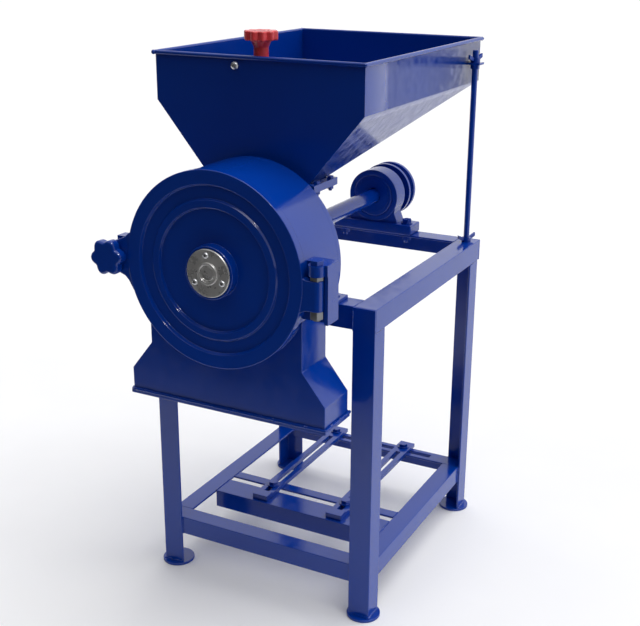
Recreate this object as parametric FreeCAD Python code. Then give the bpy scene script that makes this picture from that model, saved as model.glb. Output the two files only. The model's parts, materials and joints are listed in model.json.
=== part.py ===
import FreeCAD, Part
import math
import os

V = FreeCAD.Vector

# Small hammer mill on an angle-iron stand.  Millimetres, +Z up.
# While it is built, X = 0 is the shaft's plane, Y = 0 the stand's front face and Z = 0 the floor.
# The finished pieces are then shifted so that the origin is the middle of the footprint.

# ---- clearances -------------------------------------------------------------------------------
FIT = 0.05            # between pieces that are fixed to each other on a round seat
RUN = 0.10            # radial running fit of a pin or stud in its hole
GAP = 0.30            # between faces that move past each other

# ---- stand ------------------------------------------------------------------------------------
STAND_WIDTH = 432.0
STAND_DEPTH = 494.0
STAND_HEIGHT = 580.0
ANGLE = 40.0          # legs and top rails
ANGLE_T = 4.0
LOW_ANGLE = 35.0      # lower rails
LOW_TOP = 102.0       # top face of the lower rails
REAR_LEG_INSET = 10.0
FOOT_R = 30.0
FOOT_T = 5.0

# ---- motor slides -----------------------------------------------------------------------------
CROSS_Y = 123.0       # front face of the cross angle
CROSS_FLANGE = 52.0
CROSS_GAP = 16.0      # between the cross angle and the flat bar, for the front slide bolts
CROSS_BAR = 22.0
SLIDE_X = 80.0        # each slide stands this far from the middle
SLIDE_WIDTH = 32.0
SLIDE_SLOT = 10.6
SLIDE_T = 8.0
SLIDE_TRAVEL = 40.0
SLIDE_END = 26.0      # closed end of a slide
M10_R = 5.0
M10_AF = 17.0
M10_HEAD = 6.5
M10_NUT = 8.0
M10_HOLE = 5.5        # radius of a clearance hole
WASHER_R = 12.0
WASHER_T = 2.0
M6_R = 3.0
M6_AF = 10.0
M6_HEAD = 4.0
M6_NUT = 5.0
M6_HOLE = 3.3

# ---- drum -------------------------------------------------------------------------------------
SHAFT_ABOVE_STAND = 72.0
DRUM_R = 158.0
DRUM_WALL = 10.0
DRUM_LENGTH = 104.0   # shell, from the seal to the back plate
DRUM_BACK = -8.0      # rear face of the back plate
BACK_T = 12.0
SEAL_T = 2.7
DOOR_LAP = 2.0        # door rim beyond the drum's outside
DOOR_T = 15.0
DOOR_STEP = 4.0       # register that enters the drum
SCREEN_T = 2.5
SCREEN_GAP = 20.0     # from the drum wall to the screen
NECK_INSET = 15.0     # chute neck inside the drum's outside
OUTLET_MARGIN = 38.0  # discharge opening in the shell, inside the chute neck
CHUTE_FLARE = 41.0
FLARE_DROP = 52.0
CHUTE_FRONT_INSET = 12.0
CHUTE_REAR_INSET = 10.0
CHUTE_T = 3.0
CHUTE_DROP = 92.0     # from the drum's lowest line to the outlet's edge
CHUTE_LIP = 7.0
CHUTE_LIP_T = 3.0
BRACKET_INSET = 30.0  # drum bolts inside the drum's outside
BRACKET_W = 40.0
BRACKET_T = 6.0

# ---- shaft line -------------------------------------------------------------------------------
SHAFT_R = 15.0
RACE_T = 3.6
BALL_R = 4.0
BALLS = 8
BEARING_W = 16.0
BOSS_WALL = 11.0
BLOCK_R = 52.0
BLOCK_W = 40.0
BLOCK_FOOT = 170.0
BLOCK_FOOT_W = 48.0
BLOCK_FOOT_T = 20.0
PULLEY_R = 54.0
PULLEY_W = 32.0
PULLEY_GAP = 18.0
SHAFT_TAIL = 10.0     # turned-down stub behind the pulley
SHAFT_TAIL_R = 12.5
GROOVE_DEPTH = 13.0
GROOVE_WIDE = 16.0
GROOVE_NARROW = 9.0
KEY_W = 8.0
KEY_H = 7.0
KEY_L = 26.0

# ---- rotor ------------------------------------------------------------------------------------
TIP_GAP = 12.0        # from the hammer tips to the screen
HUB_WALL = 9.0
HAMMER_W = 26.0
HAMMER_T = 8.0
HAMMER_PIN_R = 6.0
HUB_CLEAR = 4.0       # a hammer that swings inwards misses the hub by this
PLATE_T = 8.0
ROTOR_GAP = 20.0      # from the shell's ends to the pin plates
NUT_WALL = 8.0
NUT_T = 12.0
PINS = 4

# ---- hopper and feed --------------------------------------------------------------------------
FEED_X = -5.0         # the hopper stands a little left of the shaft's plane
HOPPER_FRONT = 8.5
HOPPER_OVERHANG = 24.5  # behind the stand
HOPPER_RIM = 386.0    # top of the hopper above the stand
HOPPER_BAND = 81.0
THROAT_RISE = 23.15   # from the top of the window to the hopper's outlet
OUTLET_W = 194.0
OUTLET_L = 57.5
SHEET = 2.0
BEAD_R = 3.5
FLANGE_T = 6.0
FLANGE_SIDE = 16.0
FLANGE_FRONT = 14.5
FLANGE_REAR = 10.0
THROAT_WALL = 3.0
WINDOW_W = 100.0
WINDOW_H = 44.0
GATE_W = 116.0
GATE_T = 3.0
GATE_TRAVEL = 60.0
SCREW_R = 6.0
SCREW_BACK = 16.0     # screw axis behind the front panel's inner face
BRACKET_DROP = 36.0   # bracket below the rim
KNOB_R = 27.5
KNOB_H = 22.0
KNOB_RISE = 38.0      # top of the knob above the rim
KNOB_BOSS_R = 12.0

# ---- stay rod ---------------------------------------------------------------------------------
ROD_R = 5.5
ROD_Y = 26.0          # in front of the stand's rear edge
TAB_DROP = 46.0       # tab below the rim
TAB_T = 4.0
TAB_HALF = 12.0
STAY_AF = 15.0
STAY_NUT = 8.0
WING_SPAN = 44.0
WING_HUB_R = 9.0

# ---- door furniture ---------------------------------------------------------------------------
HINGE_OUT = 20.0      # pin beyond the drum's outside
HINGE_FORWARD = 3.0   # pin in front of the door's back
HINGE_AF = 19.0
HINGE_PIN_R = 6.0
EAR_H = 48.0
EAR_R = 11.0
EAR_Z = -14.0         # middle of the hinge ear, from the shaft
KNUCKLE_R = 13.0
KNUCKLE_H = 17.0
HINGE_NUT = 6.5       # nut between the ear and the arm
HINGE_LOCK = 12.0     # locking nut below the ear
HINGE_HEAD = 7.5
STRAP_T = 6.0
STRAP_TAIL = 22.0     # strap below the ear
CLAMP_GAP = 1.0       # between the door's rim and the turning knob
CLAMP_R = 30.0        # half height of the clamp ear and lug
CLAMP_END_R = 22.0
CLAMP_KNOB_R = 31.0
CLAMP_KNOB_T = 20.0
STUD_R = 6.0
STUD_TAIL = 19.0
LUG_SLACK = 2.5       # oversize of the lug's hole, so that the stud's tail swings out
LUG_T = 21.0
HUB_R = 43.0
HUB_COVER_R = 39.0
HUB_COVER_T = 6.0

# ---- derived places ---------------------------------------------------------------------------
HALF = STAND_WIDTH / 2
AXIS_Z = STAND_HEIGHT + SHAFT_ABOVE_STAND
DOOR_R = DRUM_R + DOOR_LAP
BACK_FRONT = DRUM_BACK - BACK_T
SHELL_FRONT = BACK_FRONT - DRUM_LENGTH
DOOR_BACK = SHELL_FRONT - SEAL_T - GAP
DOOR_FRONT = DOOR_BACK - DOOR_T
CHAMBER_R = DRUM_R - DRUM_WALL
CHUTE_NECK = DRUM_R - NECK_INSET
CHUTE_HALF = CHUTE_NECK + CHUTE_FLARE
OUTLET_HALF = CHUTE_NECK - OUTLET_MARGIN
CHUTE_Y0 = SHELL_FRONT + CHUTE_FRONT_INSET
CHUTE_Y1 = BACK_FRONT - CHUTE_REAR_INSET
CHUTE_BOTTOM = AXIS_Z - DRUM_R - CHUTE_DROP
SCREEN_R = CHAMBER_R - SCREEN_GAP
RACE_IN = SHAFT_R + FIT
RACE_MID = RACE_IN + RACE_T
RACE_OUT = RACE_MID + 2 * GAP + 2 * BALL_R
BEARING_R = RACE_OUT + RACE_T
BOSS_R = BEARING_R + BOSS_WALL
BOSS_END = DRUM_BACK + BEARING_W + 4.0
HUB_OUT = SHAFT_R + HUB_WALL
TIP_R = SCREEN_R - SCREEN_T - TIP_GAP
REACH = (TIP_R - HUB_OUT - HUB_CLEAR) / 2
PIN_CIRCLE = TIP_R - REACH
PLATE_R = PIN_CIRCLE + HAMMER_PIN_R + 10.0
PLATE_Y = SHELL_FRONT + ROTOR_GAP
PLATE_BACK = BACK_FRONT - ROTOR_GAP
REAR_RAIL_Y = STAND_DEPTH - ANGLE / 2
BLOCK_Y0 = REAR_RAIL_Y - BLOCK_W / 2
BLOCK_Y1 = REAR_RAIL_Y + BLOCK_W / 2
PULLEY_Y0 = BLOCK_Y1 + PULLEY_GAP
PULLEY_Y1 = PULLEY_Y0 + PULLEY_W
SHAFT_END = PULLEY_Y1 + SHAFT_TAIL
RIM_Z = STAND_HEIGHT + HOPPER_RIM
BAND_Z = RIM_Z - HOPPER_BAND
ROD_X = HALF - ANGLE / 2
ROD_CY = STAND_DEPTH - ROD_Y
HOPPER_HALF = ROD_X - WING_HUB_R - 2 * GAP - FEED_X
FRONT_IN = HOPPER_FRONT + SHEET
WINDOW_Z = AXIS_Z + BOSS_R + 11.0
OUTLET_Z = WINDOW_Z + WINDOW_H + THROAT_RISE
THROAT_Z = OUTLET_Z - FLANGE_T
HOPPER_REAR = STAND_DEPTH + HOPPER_OVERHANG
GATE_TOP = WINDOW_Z + WINDOW_H + 24.0
THROAT_BOTTOM = WINDOW_Z - 2.0
GATE_Y = FRONT_IN + GAP
SCREW_Y = FRONT_IN + SCREW_BACK
BRACKET_Z = RIM_Z - BRACKET_DROP
SLIDE_Z = LOW_TOP + GAP
SLIDE_Y0 = CROSS_Y + 6.0
SLIDE_Y1 = STAND_DEPTH - 6.0
FRONT_BOLT_Y = CROSS_Y + CROSS_FLANGE + CROSS_GAP / 2
REAR_SLOT_Y = STAND_DEPTH - REAR_LEG_INSET - LOW_ANGLE / 2 - 4.0
HINGE_X = DRUM_R + HINGE_OUT
HINGE_Y = DOOR_BACK - HINGE_FORWARD
CLAMP_X = -(DOOR_R + CLAMP_KNOB_R + CLAMP_GAP)


# ---- helpers ----------------------------------------------------------------------------------
def box(x0, x1, y0, y1, z0, z1):
    return Part.makeBox(x1 - x0, y1 - y0, z1 - z0, V(x0, y0, z0))


def rod_y(x, z, r, y0, y1):
    return Part.makeCylinder(r, y1 - y0, V(x, y0, z), V(0, 1, 0))


def rod_z(x, y, r, z0, z1):
    return Part.makeCylinder(r, z1 - z0, V(x, y, z0), V(0, 0, 1))


def ring_y(x, z, outer, inner, y0, y1):
    return rod_y(x, z, outer, y0, y1).cut(rod_y(x, z, inner, y0 - 1, y1 + 1))


def face_of(points):
    return Part.Face(Part.makePolygon(points + [points[0]]))


def prism_y(outline, y0, y1):
    """Extrudes an outline of (x, z) points from y0 to y1."""
    return face_of([V(x, y0, z) for x, z in outline]).extrude(V(0, y1 - y0, 0))


def hex_z(x, y, across, z0, z1):
    """Hexagonal prism with the given width across its flats."""
    r = across / math.sqrt(3)
    corners = []
    for k in range(6):
        a = math.pi * k / 3
        corners.append(V(x + r * math.cos(a), y + r * math.sin(a), z0))
    return face_of(corners).extrude(V(0, 0, z1 - z0))


def turned_y(profile, x, z):
    """Revolves a closed (radius, y) outline about the line parallel to Y through (x, z)."""
    face = face_of([V(x + r, y, z) for r, y in profile])
    return face.revolve(V(x, 0, z), V(0, 1, 0), 360)


def fuse(shapes):
    return shapes[0].multiFuse(shapes[1:]).removeSplitter() if len(shapes) > 1 else shapes[0]


def cut(shape, tools):
    return shape.cut(Part.makeCompound(tools))


def lobed(x, y, z, radius, lobes, depth):
    """Flat star outline: a disc with round scallops, as a face in the XY plane at height z."""
    disc = Part.Face(Part.Wire(Part.makeCircle(radius, V(x, y, z))))
    notch = math.pi * radius / lobes * 0.42
    step = 2 * math.pi / lobes
    bites = []
    for k in range(lobes):
        reach = radius + notch - depth
        centre = V(x + reach * math.cos(k * step), y + reach * math.sin(k * step), z)
        bites.append(Part.Face(Part.Wire(Part.makeCircle(notch, centre))))
    return disc.cut(Part.makeCompound(bites))


def hex_screw_z(x, y, top, reach):
    """M10 screw along Z: washer and head above `top`, shank running `reach` below it."""
    return fuse([rod_z(x, y, WASHER_R, top, top + WASHER_T), rod_z(x, y, M10_R, top - reach, top + 1),
                 hex_z(x, y, M10_AF, top + WASHER_T, top + WASHER_T + M10_HEAD)])


def hex_bolt_z(x, y, top, grip):
    """The same screw with a washer and a nut below the grip."""
    low = top - grip - WASHER_T
    return fuse([hex_screw_z(x, y, top, grip + 16.0), rod_z(x, y, WASHER_R, low, low + WASHER_T),
                 hex_z(x, y, M10_AF, low - M10_NUT, low)])


PARTS = {}


def add(name, *solids):
    PARTS[name] = solids[0] if len(solids) == 1 else Part.makeCompound(list(solids))


# ---- stand ------------------------------------------------------------------------------------
def side_rail(side, z_top, flange, y0, y1, outer):
    """Angle iron along Y with its corner at the top outside."""
    x_out, x_in = side * outer, side * (outer - flange)
    x_web = side * (outer - ANGLE_T)
    top = box(min(x_out, x_in), max(x_out, x_in), y0, y1, z_top - ANGLE_T, z_top)
    web = box(min(x_out, x_web), max(x_out, x_web), y0, y1, z_top - flange, z_top)
    return fuse([top, web])


def cross_rail(y_web, inward, z_top, flange, half):
    """Angle iron along X whose web's outer face is at y_web and whose top runs `inward` (+1 or -1)."""
    y_top, y_in = y_web + inward * flange, y_web + inward * ANGLE_T
    top = box(-half, half, min(y_web, y_top), max(y_web, y_top), z_top - ANGLE_T, z_top)
    web = box(-half, half, min(y_web, y_in), max(y_web, y_in), z_top - flange, z_top)
    return fuse([top, web])


def build_stand():
    rear_y = STAND_DEPTH - REAR_LEG_INSET
    top_rails, low_rails = {}, {}
    for side, word in ((-1, "left"), (1, "right")):
        top_rails[word] = side_rail(side, STAND_HEIGHT, ANGLE, ANGLE_T, STAND_DEPTH - ANGLE_T, HALF)
        low_rails[word] = side_rail(side, LOW_TOP, LOW_ANGLE, ANGLE_T, rear_y - ANGLE_T, HALF - ANGLE_T)
    tops = list(top_rails.values())
    top_rails["front"] = cut(cross_rail(ANGLE_T, 1, STAND_HEIGHT, ANGLE, HALF), tops)
    top_rails["rear"] = cut(cross_rail(STAND_DEPTH, -1, STAND_HEIGHT, ANGLE, HALF), tops)
    low_rails["front"] = cross_rail(ANGLE_T, 1, LOW_TOP, LOW_ANGLE, HALF - ANGLE_T)
    low_rails["rear"] = cross_rail(rear_y - ANGLE_T, -1, LOW_TOP, LOW_ANGLE, HALF - ANGLE_T)
    slot_half = SLIDE_X + SLIDE_TRAVEL + SLIDE_WIDTH / 2 + 6.0
    slot = box(-slot_half, slot_half, REAR_SLOT_Y - M10_R - 1, REAR_SLOT_Y + M10_R + 1, 0, LOW_TOP + 1)
    low_rails["rear"] = low_rails["rear"].cut(slot)
    for word in ("left", "right"):
        low_rails[word] = cut(low_rails[word], [low_rails["front"], low_rails["rear"], slot])

    for side, side_word in ((-1, "left"), (1, "right")):
        for outer_y, inward, end_word in ((0.0, 1, "front"), (rear_y, -1, "rear")):
            xs = sorted((side * HALF, side * (HALF - ANGLE)))
            xw = sorted((side * HALF, side * (HALF - ANGLE_T)))
            ys = sorted((outer_y, outer_y + inward * ANGLE))
            yw = sorted((outer_y, outer_y + inward * ANGLE_T))
            front_plate = box(xs[0], xs[1], yw[0], yw[1], FOOT_T, STAND_HEIGHT)
            side_plate = box(xw[0], xw[1], ys[0], ys[1], FOOT_T, STAND_HEIGHT)
            leg = cut(fuse([front_plate, side_plate]), list(top_rails.values()))
            add("stand_leg_%s_%s" % (end_word, side_word), max(leg.Solids, key=lambda s: s.Volume))

    bolts_down = [rod_z(x, y, M10_HOLE, STAND_HEIGHT - 12, STAND_HEIGHT + 1) for x, y in frame_bolts()]
    stay_hole = rod_z(ROD_X, ROD_CY, ROD_R + RUN, STAND_HEIGHT - 12, STAND_HEIGHT + 1)
    for word, rail in top_rails.items():
        add("top_rail_" + word, cut(rail, bolts_down + [stay_hole]).Solids[0])
    for word, rail in low_rails.items():
        add("low_rail_" + word, rail.Solids[0])

    inner = HALF - ANGLE_T - LOW_ANGLE
    web = box(-inner, inner, CROSS_Y, CROSS_Y + ANGLE_T, LOW_TOP - LOW_ANGLE, LOW_TOP)
    flange = box(-inner, inner, CROSS_Y, CROSS_Y + CROSS_FLANGE, LOW_TOP - ANGLE_T, LOW_TOP)
    bar_y = CROSS_Y + CROSS_FLANGE + CROSS_GAP
    bar = box(-inner, inner, bar_y, bar_y + CROSS_BAR, LOW_TOP - ANGLE_T, LOW_TOP)
    add("motor_cross_members", fuse([web, flange]), bar)

    feet = []
    inset = ANGLE * 0.45
    for side in (-1, 1):
        for y in (inset, rear_y - inset):
            feet.append(rod_z(side * (HALF - inset), y, FOOT_R, 0, FOOT_T))
    add("foot_pads", *feet)


def frame_bolts():
    """Places of the bolts that go down through the top rails: drum brackets, then bearing block."""
    bracket_x = DRUM_R - BRACKET_INSET
    block_x = BLOCK_FOOT / 2 - 17.0
    return [(-bracket_x, ANGLE_T + 20.0), (bracket_x, ANGLE_T + 20.0),
            (-block_x, REAR_RAIL_Y - 3.0), (block_x, REAR_RAIL_Y - 3.0)]


# ---- motor slides -----------------------------------------------------------------------------
def build_slides():
    for side, word in ((-1, "left"), (1, "right")):
        x = side * SLIDE_X
        half = SLIDE_WIDTH / 2
        top = SLIDE_Z + SLIDE_T
        body = box(x - half, x + half, SLIDE_Y0, SLIDE_Y1, SLIDE_Z, top)
        slot = box(x - SLIDE_SLOT / 2, x + SLIDE_SLOT / 2, SLIDE_Y0 + SLIDE_END,
                   REAR_SLOT_Y - SLIDE_END, SLIDE_Z - 1, top + 1)
        hole = rod_z(x, REAR_SLOT_Y, M10_R + 0.3, SLIDE_Z - 1, top + 1)
        pad = box(x - half, x + half, SLIDE_Y0, SLIDE_Y0 + SLIDE_END - 4.0, top, top + 3.0)
        add("motor_slide_" + word, fuse([cut(body, [slot, hole]), pad]))
        grip = SLIDE_T + GAP + ANGLE_T + GAP
        add("slide_bolts_" + word,
            hex_bolt_z(x, FRONT_BOLT_Y, top, grip), hex_bolt_z(x, REAR_SLOT_Y, top, grip))


# ---- drum -------------------------------------------------------------------------------------
def chute_outline(grow, overrun=0.0):
    """Outline of the chute in XZ, moved outwards by `grow` and run past its ends by `overrun`."""
    neck, wide = CHUTE_NECK + grow, CHUTE_HALF + grow
    top = AXIS_Z - 20.0 + overrun
    flare_top = AXIS_Z - DRUM_R + 6.0
    flare_low = flare_top - FLARE_DROP
    bottom = CHUTE_BOTTOM - overrun
    right = [(neck, top), (neck, flare_top), (wide, flare_low), (wide, bottom)]
    return right + [(-x, z) for x, z in reversed(right)]


def build_drum():
    y0, y1 = SHELL_FRONT, BACK_FRONT
    shell = ring_y(0, AXIS_Z, DRUM_R, CHAMBER_R, y0, y1)
    mouth = box(-OUTLET_HALF, OUTLET_HALF, CHUTE_Y0 + 8, CHUTE_Y1 - 8, AXIS_Z - DRUM_R - 5, AXIS_Z)
    lug = clamp_ear(-CHAMBER_R - DRUM_WALL / 2, y0, y0 + LUG_T)
    lug = lug.cut(rod_y(0, AXIS_Z, CHAMBER_R + 2, y0 - 1, y1))
    stud_hole = rod_y(CLAMP_X, AXIS_Z, STUD_R + LUG_SLACK, y0 - 1, y0 + LUG_T + 1)
    add("drum_shell", fuse([shell.cut(mouth), lug]).cut(stud_hole))
    add("door_seal", ring_y(0, AXIS_Z, DRUM_R - 1, CHAMBER_R + 1, y0 - SEAL_T, y0))

    plate = rod_y(0, AXIS_Z, DRUM_R, y1, DRUM_BACK)
    boss = rod_y(0, AXIS_Z, BOSS_R, DRUM_BACK, BOSS_END)
    seat = rod_y(0, AXIS_Z, BEARING_R + FIT, BOSS_END - BEARING_W, BOSS_END + 1)
    bore = rod_y(0, AXIS_Z, SHAFT_R + 1.0, y1 - 1, BOSS_END)
    window = box(FEED_X - WINDOW_W / 2, FEED_X + WINDOW_W / 2, y1 - 1, DRUM_BACK + 1,
                 WINDOW_Z, WINDOW_Z + WINDOW_H)
    holes = [rod_y(x, z, M10_R + FIT, y1 - 1, DRUM_BACK + 1) for x, z in bracket_bolts()]
    add("back_plate", cut(fuse([plate, boss]), [seat, bore, window] + holes))

    screen = ring_y(0, AXIS_Z, SCREEN_R, SCREEN_R - SCREEN_T, DOOR_BACK + DOOR_STEP + GAP, y1)
    rows, columns = 4, 22
    sweep = 250.0
    holes = []
    for row in range(rows):
        y = (DOOR_BACK + DOOR_STEP) + (row + 0.5) * (y1 - DOOR_BACK - DOOR_STEP) / rows
        for column in range(columns):
            a = math.radians(-90 - sweep / 2 + (column + 0.25 + 0.5 * (row % 2)) * sweep / columns)
            direction = V(math.cos(a), 0, math.sin(a))
            start = V(0, y, AXIS_Z) + direction * (SCREEN_R - SCREEN_T - 4)
            holes.append(Part.makeCylinder(5.0, SCREEN_T + 8, start, direction))
    add("ring_screen", cut(screen, holes))


def clamp_ear(x_root, y0, y1):
    """Ear with a round end about the clamp stud, from x_root outwards."""
    return fuse([box(CLAMP_X, x_root, y0, y1, AXIS_Z - CLAMP_R, AXIS_Z + CLAMP_R),
                 rod_y(CLAMP_X, AXIS_Z, CLAMP_END_R, y0, y1)])


def bracket_bolts():
    x = DRUM_R - BRACKET_INSET
    return [(-x, AXIS_Z - 30.0), (x, AXIS_Z - 30.0)]


def build_chute():
    y0, y1 = CHUTE_Y0, CHUTE_Y1
    outer = prism_y(chute_outline(0), y0, y1)
    inner = prism_y(chute_outline(-CHUTE_T, 1.0), y0 + CHUTE_T, y1 - CHUTE_T)
    body = outer.cut(inner).cut(rod_y(0, AXIS_Z, DRUM_R, y0 - 1, y1 + 1))
    low = CHUTE_BOTTOM
    rim, inside = CHUTE_HALF + CHUTE_LIP_T, CHUTE_HALF - CHUTE_T
    lip = box(-rim, rim, y0 - CHUTE_LIP_T, y1 + CHUTE_LIP_T, low, low + CHUTE_LIP)
    hole = box(-inside, inside, y0 + CHUTE_T, y1 - CHUTE_T, low - 1, low + 20)
    add("discharge_chute", max(fuse([body, lip.cut(hole)]).Solids, key=lambda s: s.Volume))


def build_brackets():
    brackets = []
    foot_y = ANGLE_T + ANGLE - 4
    for x, z in bracket_bolts():
        x0, x1 = x - BRACKET_W / 2, x + BRACKET_W / 2
        upright = box(x0, x1, DRUM_BACK, DRUM_BACK + BRACKET_T, STAND_HEIGHT, z + 22)
        foot = box(x0, x1, DRUM_BACK, foot_y, STAND_HEIGHT, STAND_HEIGHT + BRACKET_T)
        holes = [rod_y(x, z, M10_HOLE, DRUM_BACK - 1, DRUM_BACK + 8),
                 rod_z(x, ANGLE_T + 20, M10_HOLE, STAND_HEIGHT - 1, STAND_HEIGHT + 8)]
        brackets.append(cut(fuse([upright, foot]), holes))
    add("drum_brackets", *brackets)

    bolts = []
    for (x, y), top in zip(frame_bolts(), (BRACKET_T, BRACKET_T, BLOCK_FOOT_T, BLOCK_FOOT_T)):
        bolts.append(hex_bolt_z(x, y, STAND_HEIGHT + top, top + ANGLE_T))
    for x, z in bracket_bolts():
        bolt = hex_screw_z(0, 0, 0, BACK_T + 4.0)
        bolt.rotate(V(0, 0, 0), V(1, 0, 0), -90)
        bolt.translate(V(x, DRUM_BACK + BRACKET_T, z))
        bolts.append(bolt)
    return bolts


# ---- shaft line -------------------------------------------------------------------------------
def bearing(name, y0):
    """Outer ring on the housing; inner ring, and balls in their cage, with the shaft."""
    y1 = y0 + BEARING_W
    middle = (y0 + y1) / 2
    add(name + "_outer", ring_y(0, AXIS_Z, BEARING_R, RACE_OUT, y0, y1))
    pitch = RACE_MID + GAP + BALL_R
    cage = ring_y(0, AXIS_Z, pitch + 1.2, pitch - 1.2, middle - 5.0, middle + 5.0)
    balls = []
    for k in range(BALLS):
        a = 2 * math.pi * k / BALLS
        centre = V(pitch * math.cos(a), middle, AXIS_Z + pitch * math.sin(a))
        balls.append(Part.makeSphere(BALL_R, centre, V(0, 1, 0)))
    add(name + "_inner", ring_y(0, AXIS_Z, RACE_MID, RACE_IN, y0, y1), fuse([cage] + balls))


def build_shaft_line():
    bearing("drum_bearing", BOSS_END - BEARING_W)
    block_bearing_y = REAR_RAIL_Y - BEARING_W / 2
    bearing("block_bearing", block_bearing_y)

    shaft = rod_y(0, AXIS_Z, SHAFT_R, PLATE_Y - NUT_T - 3.0, PULLEY_Y1)
    tail = rod_y(0, AXIS_Z, SHAFT_TAIL_R, PULLEY_Y1 - 1, SHAFT_END)
    collar = rod_y(0, AXIS_Z, SHAFT_R + 5.0, PLATE_BACK, BACK_FRONT - 2.0)
    key_y1 = PULLEY_Y1 - 3.0
    keyway = box(-KEY_W / 2, KEY_W / 2, key_y1 - KEY_L, key_y1, AXIS_Z + SHAFT_R - KEY_H / 2, AXIS_Z + 60)
    add("main_shaft", fuse([shaft, tail, collar]).cut(keyway))
    add("pulley_key", box(-KEY_W / 2 + FIT, KEY_W / 2 - FIT, key_y1 - KEY_L + FIT, key_y1 - FIT,
                          AXIS_Z + SHAFT_R - KEY_H / 2 + FIT, AXIS_Z + SHAFT_R + KEY_H / 2 - FIT))

    groove_r = PULLEY_R - GROOVE_DEPTH
    middle = (PULLEY_Y0 + PULLEY_Y1) / 2
    wide, narrow = GROOVE_WIDE / 2, GROOVE_NARROW / 2
    bore = SHAFT_R + FIT
    profile = [(bore, PULLEY_Y0), (PULLEY_R, PULLEY_Y0), (PULLEY_R, middle - wide),
               (groove_r, middle - narrow), (groove_r, middle + narrow), (PULLEY_R, middle + wide),
               (PULLEY_R, PULLEY_Y1), (bore, PULLEY_Y1)]
    pulley = turned_y(profile, 0, AXIS_Z)
    for y0, y1 in ((PULLEY_Y0 - 1, PULLEY_Y0 + 5), (PULLEY_Y1 - 5, PULLEY_Y1 + 1)):
        pulley = pulley.cut(ring_y(0, AXIS_Z, PULLEY_R - 19, SHAFT_R + 9, y0, y1))
    key_top = AXIS_Z + SHAFT_R + KEY_H / 2
    slot = box(-KEY_W / 2, KEY_W / 2, PULLEY_Y0 - 1, PULLEY_Y1 + 1, AXIS_Z, key_top)
    add("pulley", pulley.cut(slot))

    half = BLOCK_FOOT / 2
    top = STAND_HEIGHT + BLOCK_FOOT_T
    foot = box(-half, half, REAR_RAIL_Y - BLOCK_FOOT_W / 2, REAR_RAIL_Y + BLOCK_FOOT_W / 2,
               STAND_HEIGHT, top)
    web = prism_y([(-half + 36, top - 1), (half - 36, top - 1), (BLOCK_R - 4, AXIS_Z - 14),
                   (-BLOCK_R + 4, AXIS_Z - 14)], BLOCK_Y0 + 3, BLOCK_Y1 - 3)
    body = fuse([foot, web, rod_y(0, AXIS_Z, BLOCK_R, BLOCK_Y0, BLOCK_Y1)])
    cavity = [rod_y(0, AXIS_Z, BEARING_R + FIT, block_bearing_y, BLOCK_Y1 + 1),
              rod_y(0, AXIS_Z, RACE_OUT + 1, BLOCK_Y0 - 1, BLOCK_Y1 + 1)]
    recess = [rod_y(0, AXIS_Z, BEARING_R + 3, BLOCK_Y0 - 1, BLOCK_Y0 + 4),
              rod_y(0, AXIS_Z, BEARING_R + 3, BLOCK_Y1 - 4, BLOCK_Y1 + 1)]
    holes = [rod_z(x, y, M10_HOLE, STAND_HEIGHT - 1, top + 1) for x, y in frame_bolts()[2:]]
    add("bearing_block", cut(body, cavity + recess + holes))
    cover_r = BEARING_R + 3 - FIT
    covers = [ring_y(0, AXIS_Z, cover_r, SHAFT_R + 0.6, BLOCK_Y0 - 1.5, BLOCK_Y0 + 4),
              ring_y(0, AXIS_Z, cover_r, SHAFT_R + 0.6, BLOCK_Y1 - 4, BLOCK_Y1 + 1.5)]
    add("block_covers", *covers)


# ---- rotor ------------------------------------------------------------------------------------
def pin_places():
    places = []
    for k in range(PINS):
        a = math.radians(45 + 360 * k / PINS)
        places.append((PIN_CIRCLE * math.cos(a), AXIS_Z + PIN_CIRCLE * math.sin(a)))
    return places


def hammer_stations(k):
    """Front faces of the two hammers on pin k; every other pin is staggered."""
    inner = PLATE_BACK - PLATE_Y - 2 * PLATE_T
    first = PLATE_Y + PLATE_T + (2.0 if k % 2 == 0 else inner / 4 + 2.0)
    return first, first + inner / 2


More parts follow.
